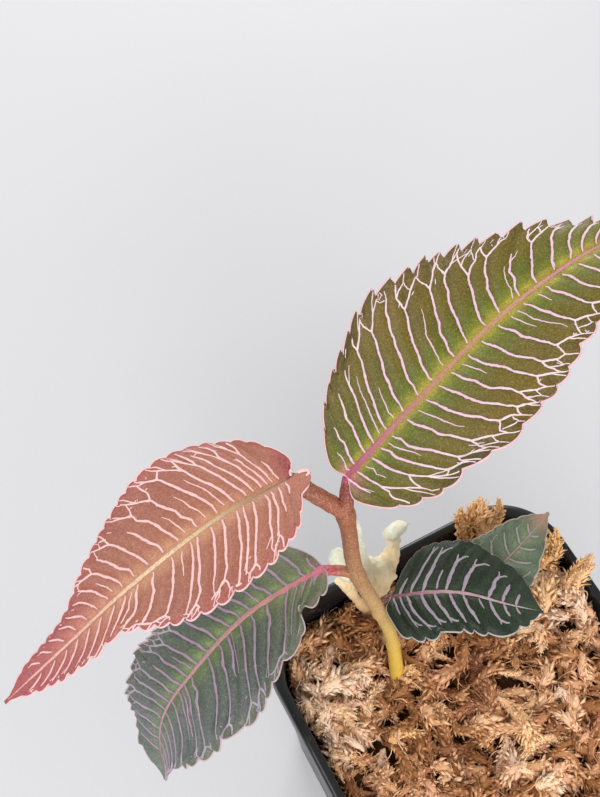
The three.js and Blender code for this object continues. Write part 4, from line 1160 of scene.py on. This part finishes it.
def mossChain(rng, bed, cell):  # one strand, in its own cell of a square grid
    spec = mossSpec
    length, girth = rng.uniform(*bed["length"]), rng.uniform(*bed["girth"])
    reach, side = potSpec["wallTopHalf"] - spec["wallReach"], math.sqrt(bed["count"])
    x = ((cell % int(side) + rng.uniform(-0.3, 1.3)) / int(side) * 2 - 1) * reach
    y = ((cell // int(side) + rng.uniform(-0.3, 1.3)) / side * 2 - 1) * reach
    beside = rng.random() < bed["edge"]  # lies along one of the walls
    if beside:
        x = (reach - rng.uniform(0, spec["edgeBand"])) * rng.choice([-1, 1])
    count = int(length / spec["strandStep"]) + 2
    walk = np.linspace(-0.5, 0.5, count)
    bend, heading = rng.normal(0, 1.5), rng.uniform(0, math.tau)
    if beside:
        bend, heading = 0.5 * bend, math.pi / 2 + rng.normal(0, 0.35)
        if rng.random() < 0.5:
            x, y, heading = y, x, heading - math.pi / 2
    turn = heading + bend * walk + 0.5 * np.sin(walk * rng.uniform(5, 11) + rng.uniform(0, 6))
    steps = np.stack([np.cos(turn), np.sin(turn)], 1) * length / (count - 1)
    flat = np.cumsum(steps, axis=0)
    flat = flat - flat[count // 2] + (x, y)
    arch, layer, tilt = rng.uniform(0.3, 2.2), rng.uniform(*bed["layer"]), rng.normal(0, 1.3)
    height = mossHeight(flat[:, 0], flat[:, 1]) + layer + arch * (np.cos(math.pi * walk) - 0.5) + tilt * walk
    height = height + 0.45 * np.sin(walk * rng.uniform(8, 15) + rng.uniform(0, 6))
    points = keepInPot(np.column_stack([flat, height]), spec["wallGap"] + 1.3 * girth)
    spindle = np.clip(np.cos(math.pi * walk * 0.97), 0.02, 1) ** rng.uniform(0.35, 0.8)
    tone = np.clip(rng.uniform(*bed["tone"]) + bumpsAt(spec["patches"], x, y) + 0.1 * walk, 0, 1)
    girths = np.maximum(girth * spindle, spec["thinnest"])
    return {"points": points, "halfWidth": girths, "tone": tone, "hueShift": rng.random()}


def raisedChains(rng, path, radii, tone, copies, stray):  # a few strands side by side, as one soft clump
    share = np.linspace(0, 1, 26)
    path = np.asarray(path, float)
    if path.shape[1] == 2:  # lies on the moss
        path = np.column_stack([path, mossHeight(path[:, 0], path[:, 1]) + mossSpec["onMoss"]])
    chains = []
    for _ in range(copies):
        strayed = path + rng.normal(0, 1, path.shape) * np.linspace(0.4, stray, len(path))[:, None]
        girth = smoothAt(radii, share) * 1.25 / math.sqrt(copies)
        points = keepInPot(curveAt(strayed, share), mossSpec["wallGap"] + 1.3 * girth.max())
        spindle = np.clip(np.sin(math.pi * (0.08 + 0.86 * share)), 0.2, 1) ** 0.5
        tones = np.full(len(share), tone + rng.normal(0, 0.06))
        chains.append({"points": points, "halfWidth": girth * spindle, "tone": tones,
                       "hueShift": rng.uniform(0, 0.8)})
    return chains


def makeLeaflets(shapes):  # small cupped scales, a unit in size, which flare from the strand that they grow on
    group = bpy.data.collections.new("scaleShapes")
    faces = [(0, 1, 4), (1, 2, 4), (2, 3, 4), (3, 0, 4), (0, 2, 1), (0, 3, 2)]
    for k, (width, length, flare) in enumerate(shapes):
        points = np.array([(0.5, 0, -0.2), (0.78, -width, 0.42 * length), (0.8 + flare, 0.1, length),
                           (0.78, width, 0.42 * length), (1.02 + flare * 0.3, 0, 0.4 * length)])
        scale = meshPiece("scaleShape%d" % k, points / mm, faces)
        keepOutward(scale.data)
        bpy.context.scene.collection.objects.unlink(scale)
        group.objects.link(scale)
    return group


def makeMossTree(leaflets):
    sizes = [("Height Share", "NodeSocketFloat"), ("Sides", "NodeSocketInt"), ("Girth Share", "NodeSocketFloat"),
             ("Leaflet Spacing", "NodeSocketFloat"), ("Leaflet Size", "NodeSocketFloat"), ("Seed", "NodeSocketInt"),
             ("Material", "NodeSocketMaterial")]
    tree, given = startTree("scaly strands", sizes)
    curve, swept = sweepChains(tree, given, False)
    inputs = {"Curve": curve, "Length": given["Leaflet Spacing"]}
    seats = put(tree, "GeometryNodeCurveToPoints", inputs, mode="LENGTH").outputs
    index = put(tree, "GeometryNodeInputIndex").outputs[0]
    angle = plus(tree, times(tree, index, 2.4), randomValue(tree, -0.7, 0.7, given["Seed"]))  # round the strand
    spin = put(tree, "FunctionNodeAxisAngleToRotation", {"Axis": (0, 0, 1), "Angle": angle}).outputs[0]
    inputs = {"Rotation": seats["Rotation"], "Rotate By": spin}
    turned = put(tree, "FunctionNodeRotateRotation", inputs, rotation_space="LOCAL").outputs[0]
    size = times(tree, randomValue(tree, 0.7, 1.3, given["Seed"]), readNamed(tree, "halfWidth"))
    inputs = {"Collection": leaflets, "Separate Children": True, "Reset Children": True}
    shapes = put(tree, "GeometryNodeCollectionInfo", inputs).outputs[0]
    inputs = {"Points": seats["Points"], "Instance": shapes, "Pick Instance": True, "Rotation": turned,
              "Instance Index": randomValue(tree, 0, len(leaflets.objects) - 1, given["Seed"], "INT"),
              "Scale": times(tree, size, given["Leaflet Size"])}
    placed = put(tree, "GeometryNodeInstanceOnPoints", inputs).outputs[0]
    # each leaflet gets a random darker tone; the strand tubes beneath carry no value, so the material paints them
    # dark as shade between the leaflets
    inputs = {"Geometry": placed, "Name": "shade", "Value": randomValue(tree, 0.42, 1.0)}
    shaded = put(tree, "GeometryNodeStoreNamedAttribute", inputs, data_type="FLOAT", domain="INSTANCE").outputs[0]
    joined = put(tree, "GeometryNodeJoinGeometry")
    for part in (swept, shaded):
        tree.links.new(part, joined.inputs[0])
    endTree(tree, given, joined.outputs[0])
    return tree


def makeMossMaterial(name, stops, dark):
    spec = mossSpec
    material, tree, shader, place = newMaterial(name, specular=0.15, sheen=0.12, sheenRoughness=0.5,
                                                sheenTint=tint(*spec["sheenTint"]))
    tone, shade, hueShift = readValues(tree, "tone", "shade", "hueShift")
    middle, fine = grain(tree, place, 330, 4, 0.7), grain(tree, place, 1900, 3, 0.7)
    colour = ramp(tree, plus(tree, tone, swing(tree, middle, 0.5)), stops)
    colour = layTint(tree, colour, spread(tree, hueShift, 0.7, 0.95, 0.0, 0.5), spec["pinkish"])
    darkening = spread(tree, tone, 0.3, 0.9, 1.0, 0.3)  # pale strands take less of the darkening, of the dark spots and of the painted shade alike
    # the dark mix: painted shade where the shade value is low (strand tubes and the moss core), randomly darker
    # leaflets, and fine dark spots
    for share in (spread(tree, shade, 0.0, 0.8, 0.5, 0.0), spread(tree, fine, 0.4, 0.75, 0.0, 0.3)):
        colour = layTint(tree, colour, times(tree, share, darkening), dark)
    finishShader(tree, shader, colour, spread(tree, middle, 0.3, 0.7, 0.7, 0.9), fine, 0.5, 0.15)
    return material


def crumbLift(x, y):
    return (0.9 * np.sin(1.7 * x + 0.6 * y) * np.sin(1.3 * y - 0.8 * x)
            + 0.5 * np.sin(3.1 * x - 2 * y) * np.cos(2.6 * y + x))


def makeMossCore(spec):
    perCorner, count = potSpec["cornerPoints"], spec["coreRings"]
    rings = []
    for z in (potSpec["floor"] + 0.3, 20, 40, 52):
        rings.append(squareRing(potHalf(z) - potSpec["wall"] - spec["coreGap"], potCorner(z) - 1, z, perCorner))
    top = potHalf(spec["low"]) - potSpec["wall"] - spec["coreGap"]
    for r in range(count):
        share = 1 - r / count
        ring = np.array(squareRing(top * share, 14.0 * share, 0, perCorner))
        x, y = ring[:, 0], ring[:, 1]
        ring[:, 2] = mossHeight(x, y) - spec["coreSink"] + crumbLift(x, y) * min(1, 4 * r / count)
        rings.append([tuple(point) for point in ring])
    core = shellPiece("mossCore", rings)
    # a low tone and no shade value, so the core takes the strongest dark mix as painted shade
    for name, value in (("tone", spec["coreTone"]), ("shade", 0.0)):
        storeValues(core.data, name, np.full(len(core.data.vertices), value))
    setMaterial(core, makeMossMaterial("mossCoreShade", spec["coreShadeTones"], spec["coreShadeDark"]))
    declare(core, "moss_brown", "moss")


def growStrands(name, chains, seed, material):
    spec = mossSpec
    piece = chainPiece(name, chains, ("tone", "hueShift"))
    grow(piece, mossTree, {"Height Share": 1.0, "Sides": spec["strandSides"], "Girth Share": spec["girthShare"],
                           "Leaflet Spacing": spec["leafletSpacing"] * mm, "Leaflet Size": spec["leafletSize"],
                           "Seed": seed, "Material": material})
    declare(piece, "moss_brown", "moss")
    print(name, "has", sum(len(face.vertices) - 2 for face in piece.data.polygons), "triangles")


def makeClumps(spec, material):
    rng = np.random.default_rng(spec["clumpSeed"])
    chains = []
    for key, copies, stray in (("raised", 4, 1.0), ("curls", 3, 0.7)):
        chains += [chain for entry in spec[key] for chain in raisedChains(rng, *entry, copies, stray)]
    growStrands("mossClumps", chains, spec["clumpSeed"], material)


def makeFibres(spec, material):
    rng = np.random.default_rng(spec["seed"])
    chains = [mossChain(rng, spec, cell) for cell in range(spec["count"])]
    for chain in chains:
        chain["halfWidth"] = np.full(len(chain["points"]), rng.uniform(*spec["girth"]))
        chain["shade"] = spec["shade"]
    fibres = chainPiece(spec["name"], chains, ("tone", "hueShift", "shade"))
    growTube(fibres, spec["sides"], material)
    declare(fibres, "moss_brown", "moss")


mossMaterial = makeMossMaterial("mossFibre", mossSpec["tones"], mossSpec["dark"])
makeMossCore(mossSpec)
leaflets = makeLeaflets(mossSpec["scales"])
mossTree = makeMossTree(leaflets)
for bed in mossSpec["beds"]:
    rng = np.random.default_rng(bed["seed"])
    growStrands(bed["name"], [mossChain(rng, bed, cell) for cell in range(bed["count"])], bed["seed"], mossMaterial)
makeClumps(mossSpec, makeMossMaterial("mossClump", mossSpec["clumpTones"], mossSpec["clumpDark"]))
makeFibres(mossSpec["fibres"], mossMaterial)
for shape in list(leaflets.objects):
    bpy.data.objects.remove(shape)
bpy.data.collections.remove(leaflets)
print("moss built")


# The pale clump behind the stem

paleSpec = {"strands": [
    ([[-6.6, 27, 46], [-6.8, 29, 57], [-6.8, 30.6, 66], [-5.1, 33.6, 72.5], [-1.9, 35.8, 73.2]], [2, 2, 2, 3.6, 2.7]),
    ([[-6.8, 30, 62], [-7.6, 33, 70], [-7.5, 35.6, 76], [-7.2, 36.6, 78]], [1.8, 2.4, 2, 1]),
    ([[-3.4, 34.6, 72], [0, 36.4, 73], [0.2, 37.8, 77.5], [-0.1, 38.3, 80.6], [2.6, 38.7, 80.2], [5.8, 39, 77.4]],
     [2.6, 1.8, 1.5, 1.7, 1.2, 0.5]),
    ([[0.4, 38.4, 80.3], [-2.1, 38.4, 79.4]], [1.6, 1.2]),
    ([[-6.2, 31.6, 69], [-12, 35.1, 78], [-14.3, 37.6, 82], [-13.6, 38.6, 86.5]], [3.2, 2.6, 2.0, 0.8]),
    ([[-7.4, 33, 72], [-8.9, 36, 80], [-9.2, 38.6, 88], [-9, 40, 93]], [1.8, 1.3, 1.0, 0.6]),
    ([[-6.6, 28.6, 55], [-9.6, 30.4, 61.5], [-11.4, 32.2, 66.2], [-13.4, 34.8, 72.2], [-15.6, 36.4, 74.4]],
     [2, 1.6, 1.3, 1.4, 1])],
    "stations": 40, "sides": 20, "slim": 0.95, "voxel": 0.3, "smoothing": 7,
    "ragged": [("folds", 2.6, 1.3), ("frays", 0.9, 0.55)],  # name, size and depth
    "foot": 62, "head": 82,  # the heights where the tones begin and end
    "tones": [(0.0, (190, 140, 88)), (0.3, (228, 196, 148)), (0.6, (236, 216, 174)), (1.0, (228, 232, 212))],
    "fibreTint": (214, 176, 124), "darkening": (206, 150, 100)}


def makePaleMaterial(name, spec):
    material, tree, shader, place = newMaterial(name, specular=0.25, sheen=0.4, sheenRoughness=0.5)
    cloud, fine = grain(tree, place, 260, 4, 0.65), grain(tree, place, 1500, 3, 0.7)
    rise = fromTo(tree, heightOf(tree, place), spec["foot"] * mm, spec["head"] * mm)
    colour = ramp(tree, plus(tree, rise, swing(tree, cloud, 0.7)), spec["tones"])
    fibre = grain(tree, stretch(tree, place, (1, 1, 0.2)), 2200, 2, 0.7)
    colour = layTint(tree, colour, spread(tree, fibre, 0.5, 0.72, 0.0, 0.45), spec["fibreTint"])
    colour = layTint(tree, colour, spread(tree, cloud, 0.62, 0.75, 0.0, 0.5), spec["darkening"])
    relief = plus(tree, fibre, times(tree, fine, 0.6))
    finishShader(tree, shader, colour, spread(tree, cloud, 0.3, 0.7, 0.6, 0.85), relief, 0.5, 0.2)
    return material


def makePaleClump(spec):
    chains, share = [], np.linspace(0, 1, spec["stations"])
    for path, radii in spec["strands"]:
        girth = smoothAt(radii, share) * (1 + 0.08 * np.sin(share * 19) + 0.06 * np.sin(share * 33 + 1))
        girth = girth * np.sqrt(1 - ease(share, 0.82, 1.02)) * spec["slim"]
        chains.append({"points": curveAt(path, share), "halfWidth": girth})
    clump = chainPiece("paleStrands", chains)
    material = makePaleMaterial("paleFibre", spec)
    growTube(clump, spec["sides"], material)
    joined = clump.modifiers.new("join", "REMESH")
    joined.mode, joined.voxel_size = "VOXEL", spec["voxel"] * mm
    soft = clump.modifiers.new("soften", "SMOOTH")
    soft.factor, soft.iterations = 0.5, spec["smoothing"]
    for name, size, depth in spec["ragged"]:
        cloud = bpy.data.textures.new(name, "CLOUDS")
        cloud.noise_scale, cloud.noise_depth = size * mm, 2
        rough = clump.modifiers.new(name, "DISPLACE")
        rough.texture, rough.texture_coords, rough.strength, rough.mid_level = cloud, "LOCAL", depth * mm, 0.5
    mesh = bakeModifiers(clump)
    smoothAll(mesh)
    keepOutward(mesh)
    setMaterial(clump, material)
    declare(clump, "moss_cream", "moss_pale_strands")
    print("paleStrands has", 2 * len(mesh.polygons), "triangles")


makePaleClump(paleSpec)
print("pale strands built")
